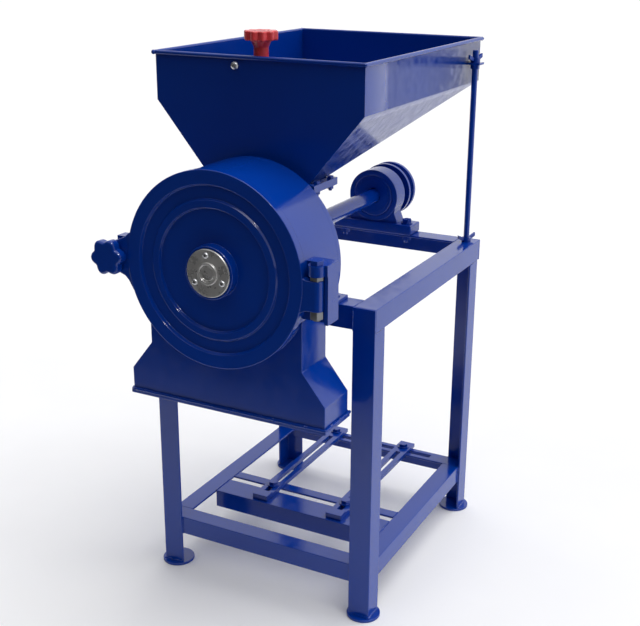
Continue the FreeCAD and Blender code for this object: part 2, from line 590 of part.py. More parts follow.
def build_rotor():
    holes = [rod_y(x, z, HAMMER_PIN_R + FIT, PLATE_Y - 1, PLATE_BACK + 1) for x, z in pin_places()]
    plates = []
    for y in (PLATE_Y, PLATE_BACK - PLATE_T):
        disc = ring_y(0, AXIS_Z, PLATE_R, SHAFT_R + FIT, y, y + PLATE_T)
        plates.append(cut(disc, holes))
    add("rotor_plates", *plates)
    hub = ring_y(0, AXIS_Z, HUB_OUT, SHAFT_R + FIT, PLATE_Y + PLATE_T, PLATE_BACK - PLATE_T)
    add("rotor_hub", hub)

    nut = hex_z(0, 0, 2 * (SHAFT_R + NUT_WALL), 0, NUT_T)
    nut.rotate(V(0, 0, 0), V(1, 0, 0), 90)
    nut.translate(V(0, PLATE_Y, AXIS_Z))
    bore = rod_y(0, AXIS_Z, SHAFT_R + FIT, PLATE_Y - 20, PLATE_Y + 1)
    add("rotor_nut", nut.cut(bore))

    pins, number = [], 0
    for k, (x, z) in enumerate(pin_places()):
        head = rod_y(x, z, HAMMER_PIN_R + 2.5, PLATE_Y - 3.0, PLATE_Y)
        tail = rod_y(x, z, HAMMER_PIN_R + 2.5, PLATE_BACK, PLATE_BACK + 3.0)
        pins.append(fuse([rod_y(x, z, HAMMER_PIN_R, PLATE_Y - 3, PLATE_BACK + 3), head, tail]))
        edges = [PLATE_Y + PLATE_T]
        for y in hammer_stations(k):
            number += 1
            body = fuse([box(x - HAMMER_W / 2, x + HAMMER_W / 2, y, y + HAMMER_T, z - REACH, z),
                         rod_y(x, z, HAMMER_W / 2, y, y + HAMMER_T)])
            hole = rod_y(x, z, HAMMER_PIN_R + RUN, y - 1, y + HAMMER_T + 1)
            add("hammer_%d" % number, body.cut(hole))
            edges += [y, y + HAMMER_T]
        edges.append(PLATE_BACK - PLATE_T)
        for start, stop in zip(edges[0::2], edges[1::2]):
            if stop - start > 3.0:
                outer, inner = HAMMER_PIN_R + 3.0, HAMMER_PIN_R + FIT
                pins.append(ring_y(x, z, outer, inner, start, stop - 2 * GAP))
    add("hammer_pins", *pins)


# ---- hopper and feed --------------------------------------------------------------------------
def rectangle(x0, x1, y0, y1, z):
    return Part.makePolygon([V(x0, y0, z), V(x1, y0, z), V(x1, y1, z), V(x0, y1, z), V(x0, y0, z)])


def funnel(low, high, z0, z1):
    """Solid between two rectangles given as (x0, x1, y0, y1)."""
    return Part.makeLoft([rectangle(*low, z0), rectangle(*high, z1)], True, True)


def inset(rect, wall):
    x0, x1, y0, y1 = rect
    return x0 + wall, x1 - wall, y0 + wall, y1 - wall


def build_hopper():
    rim = (FEED_X - HOPPER_HALF, FEED_X + HOPPER_HALF, HOPPER_FRONT, HOPPER_REAR)
    outlet = (FEED_X - OUTLET_W / 2, FEED_X + OUTLET_W / 2, HOPPER_FRONT, HOPPER_FRONT + OUTLET_L)
    bead_z = RIM_Z - BEAD_R
    outer = fuse([box(*rim, BAND_Z, bead_z), funnel(outlet, rim, OUTLET_Z, BAND_Z)])
    fall = BAND_Z - OUTLET_Z
    side_wall = SHEET / math.sin(math.atan2(fall, rim[1] - outlet[1]))
    rear_angle = math.atan2(fall, rim[3] - outlet[3])
    rear_wall = SHEET / math.sin(rear_angle)
    crease = BAND_Z + (rear_wall - SHEET) * math.tan(rear_angle)
    drain = (outlet[0] + side_wall, outlet[1] - side_wall, FRONT_IN, outlet[3] - rear_wall)
    inner = fuse([box(*inset(rim, SHEET), crease, RIM_Z),
                  funnel(drain, inset(rim, SHEET), OUTLET_Z, crease)])
    bars = rolled_rim(inset(rim, SHEET - BEAD_R), bead_z, BEAD_R)
    bolt_x, bolt_z = bracket_bolt()
    bolt_hole = rod_y(bolt_x, bolt_z, M6_HOLE, HOPPER_FRONT - 1, FRONT_IN + 1)
    sheets = cut(outer.cut(inner), bars + [bolt_hole])

    front_space = box(rim[0] - 1, rim[1] + 1, HOPPER_FRONT - 1, FRONT_IN, OUTLET_Z - 1, RIM_Z)
    reach = 1.1
    far = [o + (r - o) * reach for o, r in zip(outlet, rim)]
    plan = [V(outlet[0], outlet[3], OUTLET_Z - 1), V(outlet[1], outlet[3], OUTLET_Z - 1),
            V(far[1], far[3], OUTLET_Z - 1), V(far[0], far[3], OUTLET_Z - 1)]
    rear_space = face_of(plan).extrude(V(0, 0, RIM_Z - OUTLET_Z + 2))
    panels = [sheets.common(front_space), sheets.common(rear_space)]
    panels += cut(sheets, [front_space, rear_space]).Solids

    flange = box(*flange_outline(), THROAT_Z, OUTLET_Z)
    bite = box(*inset(outlet, SHEET), THROAT_Z - 1, OUTLET_Z + 1)
    tab_z = RIM_Z - TAB_DROP
    tab = box(rim[1], ROD_X + TAB_HALF + 1, ROD_CY - TAB_HALF, ROD_CY + TAB_HALF, tab_z, tab_z + TAB_T)
    tab_hole = rod_z(ROD_X, ROD_CY, ROD_R + RUN, tab_z - 1, tab_z + TAB_T + 1)
    solids = []
    for piece in panels + [cut(flange, [bite] + flange_bolt_holes()), tab.cut(tab_hole)] + bars:
        solids += piece.Solids
    add("hopper", *solids)


def corners(rect):
    x0, x1, y0, y1 = rect
    return [(x0, y0), (x1, y0), (x1, y1), (x0, y1)]


def rolled_rim(rect, z, r):
    """Four round bars along `rect`, mitred where they meet."""
    margin = r + 1.0
    near, far = corners(inset(rect, margin)), corners(inset(rect, -margin))
    x0, x1, y0, y1 = rect
    rods = [Part.makeCylinder(r, x1 - x0 + 2 * margin, V(x0 - margin, y0, z), V(1, 0, 0)),
            Part.makeCylinder(r, y1 - y0 + 2 * margin, V(x1, y0 - margin, z), V(0, 1, 0)),
            Part.makeCylinder(r, x1 - x0 + 2 * margin, V(x0 - margin, y1, z), V(1, 0, 0)),
            Part.makeCylinder(r, y1 - y0 + 2 * margin, V(x0, y0 - margin, z), V(0, 1, 0))]
    bars = []
    for k, rod in enumerate(rods):
        after = (k + 1) % 4
        plan = [V(x, y, z - margin) for x, y in (near[k], near[after], far[after], far[k])]
        bars.append(rod.common(face_of(plan).extrude(V(0, 0, 2 * margin))))
    return bars


def flange_outline():
    return (FEED_X - OUTLET_W / 2 - FLANGE_SIDE, FEED_X + OUTLET_W / 2 + FLANGE_SIDE,
            HOPPER_FRONT - FLANGE_FRONT, HOPPER_FRONT + OUTLET_L + FLANGE_REAR)


def flange_bolt_places():
    x = OUTLET_W / 2 + FLANGE_SIDE - 6.0
    ys = (HOPPER_FRONT + 6, HOPPER_FRONT + OUTLET_L - 4)
    return [(FEED_X + side * x, y) for side in (-1, 1) for y in ys]


def flange_bolt_holes():
    low = THROAT_Z - FLANGE_T - 1
    return [rod_z(x, y, M6_HOLE, low, OUTLET_Z + 1) for x, y in flange_bolt_places()]


def bracket_bolt():
    return FEED_X - 38.0, BRACKET_Z + 19.0


def build_feed():
    top = THROAT_Z
    mouth = (FEED_X - OUTLET_W / 2 + SHEET, FEED_X + OUTLET_W / 2 - SHEET, FRONT_IN,
             HOPPER_FRONT + OUTLET_L - SHEET)
    floor = (FEED_X - GATE_W / 2 - 10, FEED_X + GATE_W / 2 + 10, FRONT_IN, FRONT_IN + 20)
    bottom = THROAT_BOTTOM
    outer = funnel(inset(floor, -THROAT_WALL), inset(mouth, -THROAT_WALL), bottom - THROAT_WALL, top)
    inner = funnel(floor, mouth, bottom, top)
    flange = box(*flange_outline(), top - FLANGE_T, top)
    duct = box(FEED_X - WINDOW_W / 2 - THROAT_WALL, FEED_X + WINDOW_W / 2 + THROAT_WALL, DRUM_BACK,
               FRONT_IN - 1, WINDOW_Z - THROAT_WALL, WINDOW_Z + WINDOW_H + THROAT_WALL)
    passage = box(FEED_X - WINDOW_W / 2, FEED_X + WINDOW_W / 2, DRUM_BACK - 1, FRONT_IN + 5,
                  WINDOW_Z, WINDOW_Z + WINDOW_H)
    body = cut(fuse([outer, flange, duct]), [inner, passage] + flange_bolt_holes())
    mouth_box = box(*mouth, top - 1, top + 1)
    throat = max(body.cut(mouth_box).Solids, key=lambda s: s.Volume)

    guides = []
    gate_half = GATE_W / 2
    for side in (-1, 1):
        x_near, x_far = FEED_X + side * (gate_half + GAP), FEED_X + side * (gate_half + 6)
        x_lip = FEED_X + side * (gate_half - 6)
        lip_y = GATE_Y + GATE_T + GAP
        z0, z1 = bottom + 4, bottom + WINDOW_H + 22 + GATE_TRAVEL
        spacer = box(*sorted((x_near, x_far)), FRONT_IN, lip_y, z0, z1)
        lip = box(*sorted((x_lip, x_far)), lip_y, lip_y + 2.5, z0, z1)
        guides.append(fuse([spacer, lip]))
    add("feed_throat", throat, *guides)

    gate = box(FEED_X - gate_half, FEED_X + gate_half, GATE_Y, GATE_Y + GATE_T, bottom + GAP, GATE_TOP)
    lug = box(FEED_X - 16, FEED_X + 16, GATE_Y, SCREW_Y + 13, GATE_TOP - 10, GATE_TOP)
    screw_hole = rod_z(FEED_X, SCREW_Y, SCREW_R + RUN, GATE_TOP - 20, GATE_TOP + 5)
    add("feed_gate", fuse([gate, lug]).cut(screw_hole))

    bolt_x, bolt_z = bracket_bolt()
    bracket_x0, bracket_x1 = bolt_x - 12, FEED_X + 14
    leg = box(bracket_x0, bracket_x1, FRONT_IN, FRONT_IN + 3, BRACKET_Z, BRACKET_Z + 28)
    shelf = box(bracket_x0, bracket_x1, FRONT_IN, SCREW_Y + 12, BRACKET_Z - 3, BRACKET_Z)
    hole = rod_z(FEED_X, SCREW_Y, SCREW_R + RUN, BRACKET_Z - 5, BRACKET_Z + 2)
    bolt_hole = rod_y(bolt_x, bolt_z, M6_HOLE, FRONT_IN - 1, FRONT_IN + 5)
    add("gate_bracket", cut(fuse([leg, shelf]), [hole, bolt_hole]))

    knob_top = RIM_Z + KNOB_RISE
    knob_z = knob_top - KNOB_H
    screw = rod_z(FEED_X, SCREW_Y, SCREW_R, GATE_TOP - 12.0, knob_top - 6)
    collar = rod_z(FEED_X, SCREW_Y, SCREW_R + 4, BRACKET_Z - 3 - GAP - 6, BRACKET_Z - 3 - GAP)
    add("gate_screw", fuse([screw, collar]))
    star = lobed(FEED_X, SCREW_Y, knob_z, KNOB_R, 10, 4.0).extrude(V(0, 0, KNOB_H))
    boss = rod_z(FEED_X, SCREW_Y, KNOB_BOSS_R, BRACKET_Z + GAP, knob_z)
    seat = rod_z(FEED_X, SCREW_Y, SCREW_R + FIT, 0, knob_top - 6 + FIT)
    add("feed_knob", fuse([star, boss]).cut(seat))
    return [front_bolt()] + throat_bolts()


def front_bolt():
    """Domed screw through the front panel and the gate bracket, with its nut inside."""
    x, z = bracket_bolt()
    head = Part.makeSphere(6.5, V(x, HOPPER_FRONT + 2.5, z))
    head = head.common(box(x - 9, x + 9, HOPPER_FRONT - 9, HOPPER_FRONT, z - 9, z + 9))
    shank = rod_y(x, z, M6_R, HOPPER_FRONT - 1, FRONT_IN + 11)
    nut = hex_z(0, 0, M6_AF, 0, M6_NUT)
    nut.rotate(V(0, 0, 0), V(1, 0, 0), -90)
    nut.translate(V(x, FRONT_IN + 3, z))
    return fuse([head, shank, nut])


def throat_bolts():
    bolts = []
    low = THROAT_Z - FLANGE_T
    for x, y in flange_bolt_places():
        bolts.append(fuse([hex_z(x, y, M6_AF, OUTLET_Z, OUTLET_Z + M6_HEAD),
                           rod_z(x, y, M6_R, low - M6_NUT - 3, OUTLET_Z + 1),
                           hex_z(x, y, M6_AF, low - M6_NUT, low)]))
    return bolts


# ---- stay rod ---------------------------------------------------------------------------------
def wing_nut(z, degrees):
    """Wing nut on the stay rod, standing at height z, its wings turned from X by the given angle."""
    body = rod_z(ROD_X, ROD_CY, WING_HUB_R, z, z + 8.0)
    wings = []
    for side in (-1, 1):
        outline = [V(ROD_X + side * reach, ROD_CY - 2, z + up)
                   for reach, up in ((5, 1), (WING_SPAN / 2, 8), (WING_SPAN / 2, 15), (7, 8))]
        wings.append(face_of(outline).extrude(V(0, 4, 0)))
    nut = fuse([body] + wings).cut(rod_z(ROD_X, ROD_CY, ROD_R + FIT, z - 1, z + 20))
    nut.rotate(V(ROD_X, ROD_CY, 0), V(0, 0, 1), degrees)
    return nut


def build_stay():
    tab_top = RIM_Z - TAB_DROP + TAB_T
    rod = rod_z(ROD_X, ROD_CY, ROD_R, STAND_HEIGHT - 18, tab_top + 22)
    low, high = STAND_HEIGHT - ANGLE_T, tab_top - TAB_T
    nuts = [hex_z(ROD_X, ROD_CY, STAY_AF, top - STAY_NUT, top) for top in (low, high)]
    add("stay_rod", fuse([rod] + nuts))
    add("wing_nuts", wing_nut(STAND_HEIGHT, 65), wing_nut(tab_top, 78))


# ---- door -------------------------------------------------------------------------------------
def door_profile():
    """Closed (radius, y) outline of the round door, front side first."""
    front, back = DOOR_FRONT, DOOR_BACK
    rim, step, bead, dish = DOOR_R - 9, DOOR_R - 22, DOOR_R - 45, DOOR_R - 61
    return [(0, front + 8), (dish, front + 8), (dish + 3, front + 3), (bead - 3, front + 3),
            (bead, front + 6), (step - 3, front + 6), (step, front + 2), (rim - 2, front + 2),
            (rim, front), (DOOR_R - 1, front), (DOOR_R, front + 1), (DOOR_R, back),
            (CHAMBER_R - 2, back), (CHAMBER_R - 3, back + DOOR_STEP), (0, back + DOOR_STEP)]


def build_door():
    disc = turned_y(door_profile(), 0, AXIS_Z)
    boss = rod_y(0, AXIS_Z, HUB_R, DOOR_FRONT - 5.0, DOOR_FRONT + 9)
    ear_z = AXIS_Z + EAR_Z
    low, high = ear_z - EAR_H / 2, ear_z + EAR_H / 2
    ear = fuse([box(DOOR_R - 12, HINGE_X, HINGE_Y - EAR_R, HINGE_Y + EAR_R - 8, low, high),
                rod_z(HINGE_X, HINGE_Y, EAR_R, low, high)])
    ear = ear.cut(rod_y(0, AXIS_Z, DOOR_R - 2, DOOR_FRONT - 5, HINGE_Y + EAR_R + 1))
    clamp_y0 = DOOR_FRONT + 1.0
    clamp = clamp_ear(-DOOR_R + 6, clamp_y0, DOOR_BACK)
    clamp = clamp.cut(rod_y(0, AXIS_Z, DOOR_R - 2, DOOR_FRONT - 5, DOOR_BACK + 1))
    holes = [rod_z(HINGE_X, HINGE_Y, HINGE_PIN_R + RUN, ear_z - EAR_H, ear_z + EAR_H),
             rod_y(CLAMP_X, AXIS_Z, STUD_R + RUN, clamp_y0 - 1, DOOR_BACK + 1)]
    holes += [rod_y(x, z, M6_R, DOOR_FRONT - 6, DOOR_FRONT + 6) for x, z in hub_screws()]
    add("door", cut(fuse([disc, boss, ear, clamp]), holes))

    y1 = DOOR_FRONT - 5.0
    y0 = y1 - HUB_COVER_T
    cover = rod_y(0, AXIS_Z, HUB_COVER_R, y0, y1)
    ring = ring_y(0, AXIS_Z, 18.0, 14.0, y0 - 3, y0 + 1)
    plug = rod_y(0, AXIS_Z, 12.0, y0 - 2, y0 + 1)
    screw_holes = [rod_y(x, z, M6_HOLE, y0 - 1, y1 + 1) for x, z in hub_screws()]
    add("hub_cover", cut(fuse([cover, ring, plug]), screw_holes))
    screws = []
    for x, z in hub_screws():
        head = rod_y(x, z, 5.0, y0 - 3.5, y0)
        screws.append(fuse([rod_y(x, z, M6_R, y0 - 1, DOOR_FRONT + 5), head]))
    add("hub_screws", *screws)

    star_y0 = clamp_y0 - GAP - CLAMP_KNOB_T
    star = lobed(0, 0, 0, CLAMP_KNOB_R, 6, 8.0).extrude(V(0, 0, CLAMP_KNOB_T))
    star.rotate(V(0, 0, 0), V(1, 0, 0), -90)
    star.translate(V(CLAMP_X, star_y0, AXIS_Z))
    stud = rod_y(CLAMP_X, AXIS_Z, STUD_R, star_y0 + 2, DOOR_BACK + STUD_TAIL)
    add("clamp_knob", fuse([star, stud]))


def hub_screws():
    places = []
    for k in range(3):
        a = math.radians(95 + 120 * k)
        places.append((29.0 * math.cos(a), AXIS_Z + 29.0 * math.sin(a)))
    return places


def build_hinge():
    """One arm over the ear, carried by a pad and a strap on the drum, and the bolt that is the pin."""
    ear_top = AXIS_Z + EAR_Z + EAR_H / 2
    ear_low = ear_top - EAR_H
    nut_top = ear_top + GAP + HINGE_NUT
    arm_low = nut_top + GAP
    arm_top = arm_low + KNUCKLE_H
    strap_low = ear_low - STRAP_TAIL
    pad_y0, pad_y1 = HINGE_Y + EAR_R + 2.0, HINGE_Y + EAR_R + 26.0
    strap_x0 = HINGE_X + EAR_R + 1.0
    strap_x1 = strap_x0 + STRAP_T
    arm = fuse([rod_z(HINGE_X, HINGE_Y, KNUCKLE_R, arm_low, arm_top),
                box(HINGE_X - KNUCKLE_R, strap_x1, HINGE_Y, pad_y1, arm_low, arm_top)])
    pad = box(DRUM_R - 14, strap_x1, pad_y0, pad_y1, strap_low, arm_top)
    strap = box(strap_x0, strap_x1, HINGE_Y + 2, pad_y1, strap_low, arm_top)
    body = fuse([arm, pad, strap]).cut(rod_y(0, AXIS_Z, DRUM_R, DOOR_FRONT, DRUM_BACK))
    body = body.cut(rod_z(HINGE_X, HINGE_Y, HINGE_PIN_R + RUN, arm_low - 1, arm_top + 1))
    add("hinge_bracket", max(body.Solids, key=lambda s: s.Volume))
    lock_top = ear_low - GAP
    pin = fuse([rod_z(HINGE_X, HINGE_Y, HINGE_PIN_R, lock_top - HINGE_LOCK - 3, arm_top + 1),
                hex_z(HINGE_X, HINGE_Y, HINGE_AF, arm_top, arm_top + HINGE_HEAD),
                hex_z(HINGE_X, HINGE_Y, HINGE_AF, ear_top + GAP, nut_top),
                hex_z(HINGE_X, HINGE_Y, HINGE_AF, lock_top - HINGE_LOCK, lock_top)])
    add("hinge_pin", pin)


def main():
    build_stand()
    build_slides()
    build_drum()
    build_chute()
    bolts = build_brackets()
    build_shaft_line()
    build_rotor()
    build_hopper()
    bolts += build_feed()
    add("machine_bolts", *bolts)
    build_stay()
    build_door()
    build_hinge()
    bounds = Part.makeCompound(list(PARTS.values())).optimalBoundingBox()
    shift = V(-bounds.Center.x, -bounds.Center.y, 0)
    os.makedirs("parts", exist_ok=True)
    for name, shape in PARTS.items():
        shape.translate(shift)
        shape.exportStep("parts/%s.step" % name)
    print(len(PARTS), "nodes, shift", shift, "size", bounds.XLength, bounds.YLength, bounds.ZLength)


main()
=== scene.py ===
"""Looks of a small hammer mill: blue enamelled steel on an angle-iron stand.

Every sub-assembly is a class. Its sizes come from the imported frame, and its methods build the
meshes, dress them in a finish and let them ride on a body. Lengths are metres unless a name
ends in ``_mm``.
"""

import json
import logging
import math
import random
from dataclasses import dataclass, field
from enum import Enum
from typing import Iterable, Sequence

import bmesh
import bpy
from mathutils import Matrix, Vector

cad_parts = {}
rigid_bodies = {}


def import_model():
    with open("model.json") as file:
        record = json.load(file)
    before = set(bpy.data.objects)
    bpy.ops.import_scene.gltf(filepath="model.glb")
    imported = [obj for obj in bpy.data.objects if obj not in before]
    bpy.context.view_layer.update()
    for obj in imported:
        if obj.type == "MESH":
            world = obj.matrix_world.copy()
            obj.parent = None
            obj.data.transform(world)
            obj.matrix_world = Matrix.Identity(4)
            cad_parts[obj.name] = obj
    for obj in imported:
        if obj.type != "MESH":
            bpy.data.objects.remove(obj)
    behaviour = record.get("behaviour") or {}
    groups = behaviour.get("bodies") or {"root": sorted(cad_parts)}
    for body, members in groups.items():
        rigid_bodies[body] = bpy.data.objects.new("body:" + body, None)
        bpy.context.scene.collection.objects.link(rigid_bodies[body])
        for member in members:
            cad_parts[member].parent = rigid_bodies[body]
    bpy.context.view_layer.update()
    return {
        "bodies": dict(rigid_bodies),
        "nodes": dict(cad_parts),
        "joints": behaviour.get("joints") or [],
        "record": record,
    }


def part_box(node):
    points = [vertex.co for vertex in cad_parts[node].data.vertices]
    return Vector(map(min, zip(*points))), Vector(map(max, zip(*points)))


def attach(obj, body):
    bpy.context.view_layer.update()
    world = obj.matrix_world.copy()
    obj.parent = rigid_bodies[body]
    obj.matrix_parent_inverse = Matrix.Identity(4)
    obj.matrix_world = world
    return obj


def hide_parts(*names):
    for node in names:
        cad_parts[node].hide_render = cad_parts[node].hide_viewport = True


LOG = logging.getLogger("hammer_mill")
MM = 0.001
ENDS = ("front", "rear")
SIDES = ("left", "right")

Mesh = bmesh.types.BMesh
Material = bpy.types.Material
Socket = bpy.types.NodeSocket
Pair = tuple[float, float]
Value = float | Sequence[float] | Socket


class Axis(Enum):
    """The direction a round piece is turned about."""

    X = (1.0, 0.0, 0.0)
    Y = (0.0, 1.0, 0.0)
    Z = (0.0, 0.0, 1.0)

    @property
    def vector(self) -> Vector:
        """The axis as a unit vector."""
        return Vector(self.value)


class Metal(Enum):
    """Bare metals by the hex colour of their reflection and their roughness."""

    STAINLESS = ("D6D5D3", 0.30)
    ZINC = ("DDDFE2", 0.28)
    STEEL = ("8D8F92", 0.38)
    WORN = ("6E6F72", 0.45)


def linear(hex_colour: str) -> tuple[float, float, float, float]:
    """Turn an sRGB hex colour into linear RGBA.

    Args:
        hex_colour: six hex digits, such as ``"0B3C9E"``.

    Returns:
        Linear red, green, blue and an alpha of 1.
    """
    values = [int(hex_colour[i : i + 2], 16) / 255 for i in (0, 2, 4)]
    turned = [v / 12.92 if v <= 0.04045 else ((v + 0.055) / 1.055) ** 2.4 for v in values]
    return (*turned, 1.0)


class Nodes:
    """A shader node tree, with the few kinds of node that the looks are made of."""

    def __init__(self, tree: bpy.types.NodeTree) -> None:
        """Empty a tree.

        Args:
            tree: a material's or a world's node tree.
        """
        self.tree = tree
        tree.nodes.clear()

    def add(self, kind: str, inputs: dict | None = None, **settings) -> bpy.types.Node:
        """Add one node.

        Args:
            kind: the node's type name, after its ``ShaderNode``.
            inputs: socket name or number to a value, or to a socket that is linked to it.
            **settings: the node's own properties.

        Returns:
            The new node.
        """
        made = self.tree.nodes.new("ShaderNode" + kind)
        for name, value in settings.items():
            setattr(made, name, value)
        for name, value in (inputs or {}).items():
            if isinstance(value, Socket):
                self.tree.links.new(value, made.inputs[name])
            else:
                made.inputs[name].default_value = value
        return made

    def mix(self, factor: Value, first: Value, second: Value) -> Socket:
        """Blend two colours.

        Args:
            factor: 0 for the first colour, 1 for the second.
            first: the first colour.
            second: the second colour.

        Returns:
            The blended colour.
        """
        inputs = {"Factor": factor, "A": first, "B": second}
        return self.add("Mix", inputs, data_type="RGBA").outputs["Result"]

    def remap(self, value: Value, source: Pair = (0.0, 1.0), target: Pair = (0.0, 1.0),
              **settings) -> Socket:
        """Turn one range of values into another.

        Args:
            value: what is turned.
            source: the range that it is read over.
            target: the range that comes out.
            **settings: the node's own properties.

        Returns:
            The value in its new range.
        """
        inputs = {"Value": value, "From Min": source[0], "From Max": source[1],
                  "To Min": target[0], "To Max": target[1]}
        return self.add("MapRange", inputs, **settings).outputs["Result"]

    def math(self, operation: str, first: Value, second: Value) -> Socket:
        """Do one sum.

        Args:
            operation: ``ADD``, ``MULTIPLY`` and so on.
            first: the first number.
            second: the second number.

        Returns:
            The outcome.
        """
        return self.add("Math", {0: first, 1: second}, operation=operation).outputs["Value"]


class Skin(Nodes):
    """A new material on Object coordinates that ends in one Principled shader."""

    def __init__(self, name: str) -> None:
        """Start the material.

        Args:
            name: what the finish is.
        """
        self.material = bpy.data.materials.new(name)
        self.material.use_nodes = True
        super().__init__(self.material.node_tree)
        self.place = self.add("TexCoord").outputs["Object"]

    def noise(self, scale: float, detail: float, **more: float) -> Socket:
        """Cloudy noise over the surface.

        Args:
            scale: clouds in a metre.
            detail: octaves of finer noise.
            **more: further sockets by name.

        Returns:
            The noise, from 0 to 1.
        """
        inputs = {"Vector": self.place, "Scale": scale, "Detail": detail, **more}
        return self.add("TexNoise", inputs).outputs["Fac"]

    def bump(self, height: Value, strength: float, depth_mm: float,
             over: Value | None = None) -> Socket:
        """Raise the surface.

        Args:
            height: what raises it.
            strength: how much of it shows.
            depth_mm: its full height.
            over: a bump that lies under this one.

        Returns:
            The normal.
        """
        inputs = {"Strength": strength, "Distance": depth_mm * MM, "Height": height}
        if over is not None:
            inputs["Normal"] = over
        return self.add("Bump", inputs).outputs["Normal"]

    def close(self, colour: Value, roughness: Value, **more: Value) -> Material:
        """End in one Principled shader.

        Args:
            colour: the base colour.
            roughness: how matt it is.
            **more: further sockets, with ``_`` for a space in the name.

        Returns:
            The material.
        """
        inputs = {"Base Color": colour, "Roughness": roughness}
        inputs |= {name.replace("_", " "): value for name, value in more.items()}
        shader = self.add("BsdfPrincipled", inputs)
        self.add("OutputMaterial", {"Surface": shader.outputs["BSDF"]})
        return self.material


# ---- finishes ------------------------------------------------------------------------------
@dataclass(frozen=True)
class Enamel:
    """Brushed and sprayed oil enamel on welded steel.

    The film pools a little, so the colour is never quite even, its surface has a soft orange
    peel, and it is thin along sharp edges, where the steel shows; the paler edge colour is partly
    chips and partly a painted highlight. The three scales count clouds in a metre.
    """

    name: str
    colour: str = "003A9E"
    deep: str = "003290"
    chip_and_highlight: str = "9FA6B4"
    roughness: float = 0.13
    pool_scale: float = 9.0
    grime_scale: float = 60.0
    chip_scale: float = 190.0
    edge_mm: float = 0.7
    peel_mm: float = 6.0
    peel: float = 0.10
    cast_mm: float = 0.0
    chip_and_highlight_amount: float = 0.35

    def build(self) -> Material:
        """Make the material.

        Returns:
            The material.
        """
        skin = Skin(self.name)
        # brush pools a hand's width across
        pools = skin.noise(self.pool_scale, 3.0)
        tone = skin.mix(pools, linear(self.deep), linear(self.colour))
        gloss = (self.roughness * 0.8, self.roughness * 1.7)
        shine = skin.remap(skin.noise(self.grime_scale, 4.0), (0.35, 0.75), gloss)
        # edges: where a rounded normal leaves the true one, broken up by fine noise; there the
        # colour turns paler, partly chipped paint and partly a painted highlight along the edge
        rounded = skin.add("Bevel", {"Radius": self.edge_mm * MM}, samples=4)
        normals = {0: rounded.outputs["Normal"], 1: skin.add("NewGeometry").outputs["Normal"]}
        facing = skin.add("VectorMath", normals, operation="DOT_PRODUCT")
        edge = skin.remap(facing.outputs["Value"], (0.96, 0.80))
        chips = skin.remap(skin.noise(self.chip_scale, 5.0), (0.56, 0.66), (0.0, self.chip_and_highlight_amount))
        worn = skin.math("MULTIPLY", edge, chips)
        # the paler edge colour: chips mixed with a painted highlight
        colour = skin.mix(worn, tone, linear(self.chip_and_highlight))
        # orange peel, then the sand grain of a casting where there is one
        normal = skin.bump(skin.noise(1000 / self.peel_mm, 2.0), self.peel, 0.35)
        if self.cast_mm:
            normal = skin.bump(skin.noise(1000 / self.cast_mm, 4.0), 0.45, 0.5, normal)
        return skin.close(colour, shine, Normal=normal, IOR=1.5)


@dataclass(frozen=True)
class BareMetal:
    """Bare metal with turning marks or drawn scratches."""

    name: str
    metal: Metal
    mark_mm: float = 0.9
    centre: tuple[float, float, float] | None = None
    metallic: float = 1.0
    smudge_scale: float = 70.0
    smudged: float = 0.72

    def build(self) -> Material:
        """Make the material.

        Returns:
            The material.
        """
        skin = Skin(self.name)
        tint, roughness = self.metal.value
        smudge = skin.noise(self.smudge_scale, 4.0)
        dull = tuple(self.smudged * c for c in linear(tint)[:3]) + (1.0,)
        colour = skin.mix(smudge, dull, linear(tint))
        shine = skin.remap(smudge, (0.3, 0.7), (roughness * 0.7, roughness * 1.5))
        if self.centre is None:
            marks = skin.noise(1000 / self.mark_mm, 2.0)
        else:
            # rings about the lathe's axis, which runs along Y through the centre
            offset = tuple(-c for c in self.centre)
            moved = skin.add("Mapping", {"Vector": skin.place, "Location": offset})
            rings = {"Vector": moved.outputs["Vector"], "Scale": 1000 / self.mark_mm / 20,
                     "Distortion": 0.4, "Detail": 1.0}
            lathe = skin.add("TexWave", rings, wave_type="RINGS", rings_direction="Y")
            marks = lathe.outputs["Fac"]
        normal = skin.bump(marks, 0.12, 0.1)
        return skin.close(colour, shine, Normal=normal, Metallic=self.metallic)


@dataclass(frozen=True)
class MouldedPlastic:
    """Injection-moulded phenolic knob with a slightly uneven gloss."""

    name: str
    colour: str
    deep: str
    roughness: float = 0.24
    cloud_scale: float = 80.0
    grain_scale: float = 900.0

    def build(self) -> Material:
        """Make the material.

        Returns:
            The material.
        """
        skin = Skin(self.name)
        cloud = skin.noise(self.cloud_scale, 3.0)
        colour = skin.mix(cloud, linear(self.deep), linear(self.colour))
        shine = skin.remap(cloud, target=(self.roughness * 0.8, self.roughness * 1.4))
        normal = skin.bump(skin.noise(self.grain_scale, 2.0), 0.08, 0.1)
        return skin.close(colour, shine, Normal=normal, IOR=1.52, Subsurface_Weight=0.03,
                          Subsurface_Radius=(0.004, 0.001, 0.001))


@dataclass(frozen=True)
class Felt:
    """Pressed felt or worn rubber strip: matt, fibrous and a little dusty."""

    name: str
    colour: str
    dust: str
    fibre_mm: float = 0.8

    def build(self) -> Material:
        """Make the material.

        Returns:
            The material.
        """
        skin = Skin(self.name)
        fibre = skin.noise(1000 / self.fibre_mm, 5.0, Roughness=0.7)
        colour = skin.mix(fibre, linear(self.colour), linear(self.dust))
        return skin.close(colour, 0.9, Normal=skin.bump(fibre, 0.5, 0.3), Sheen_Weight=0.2)


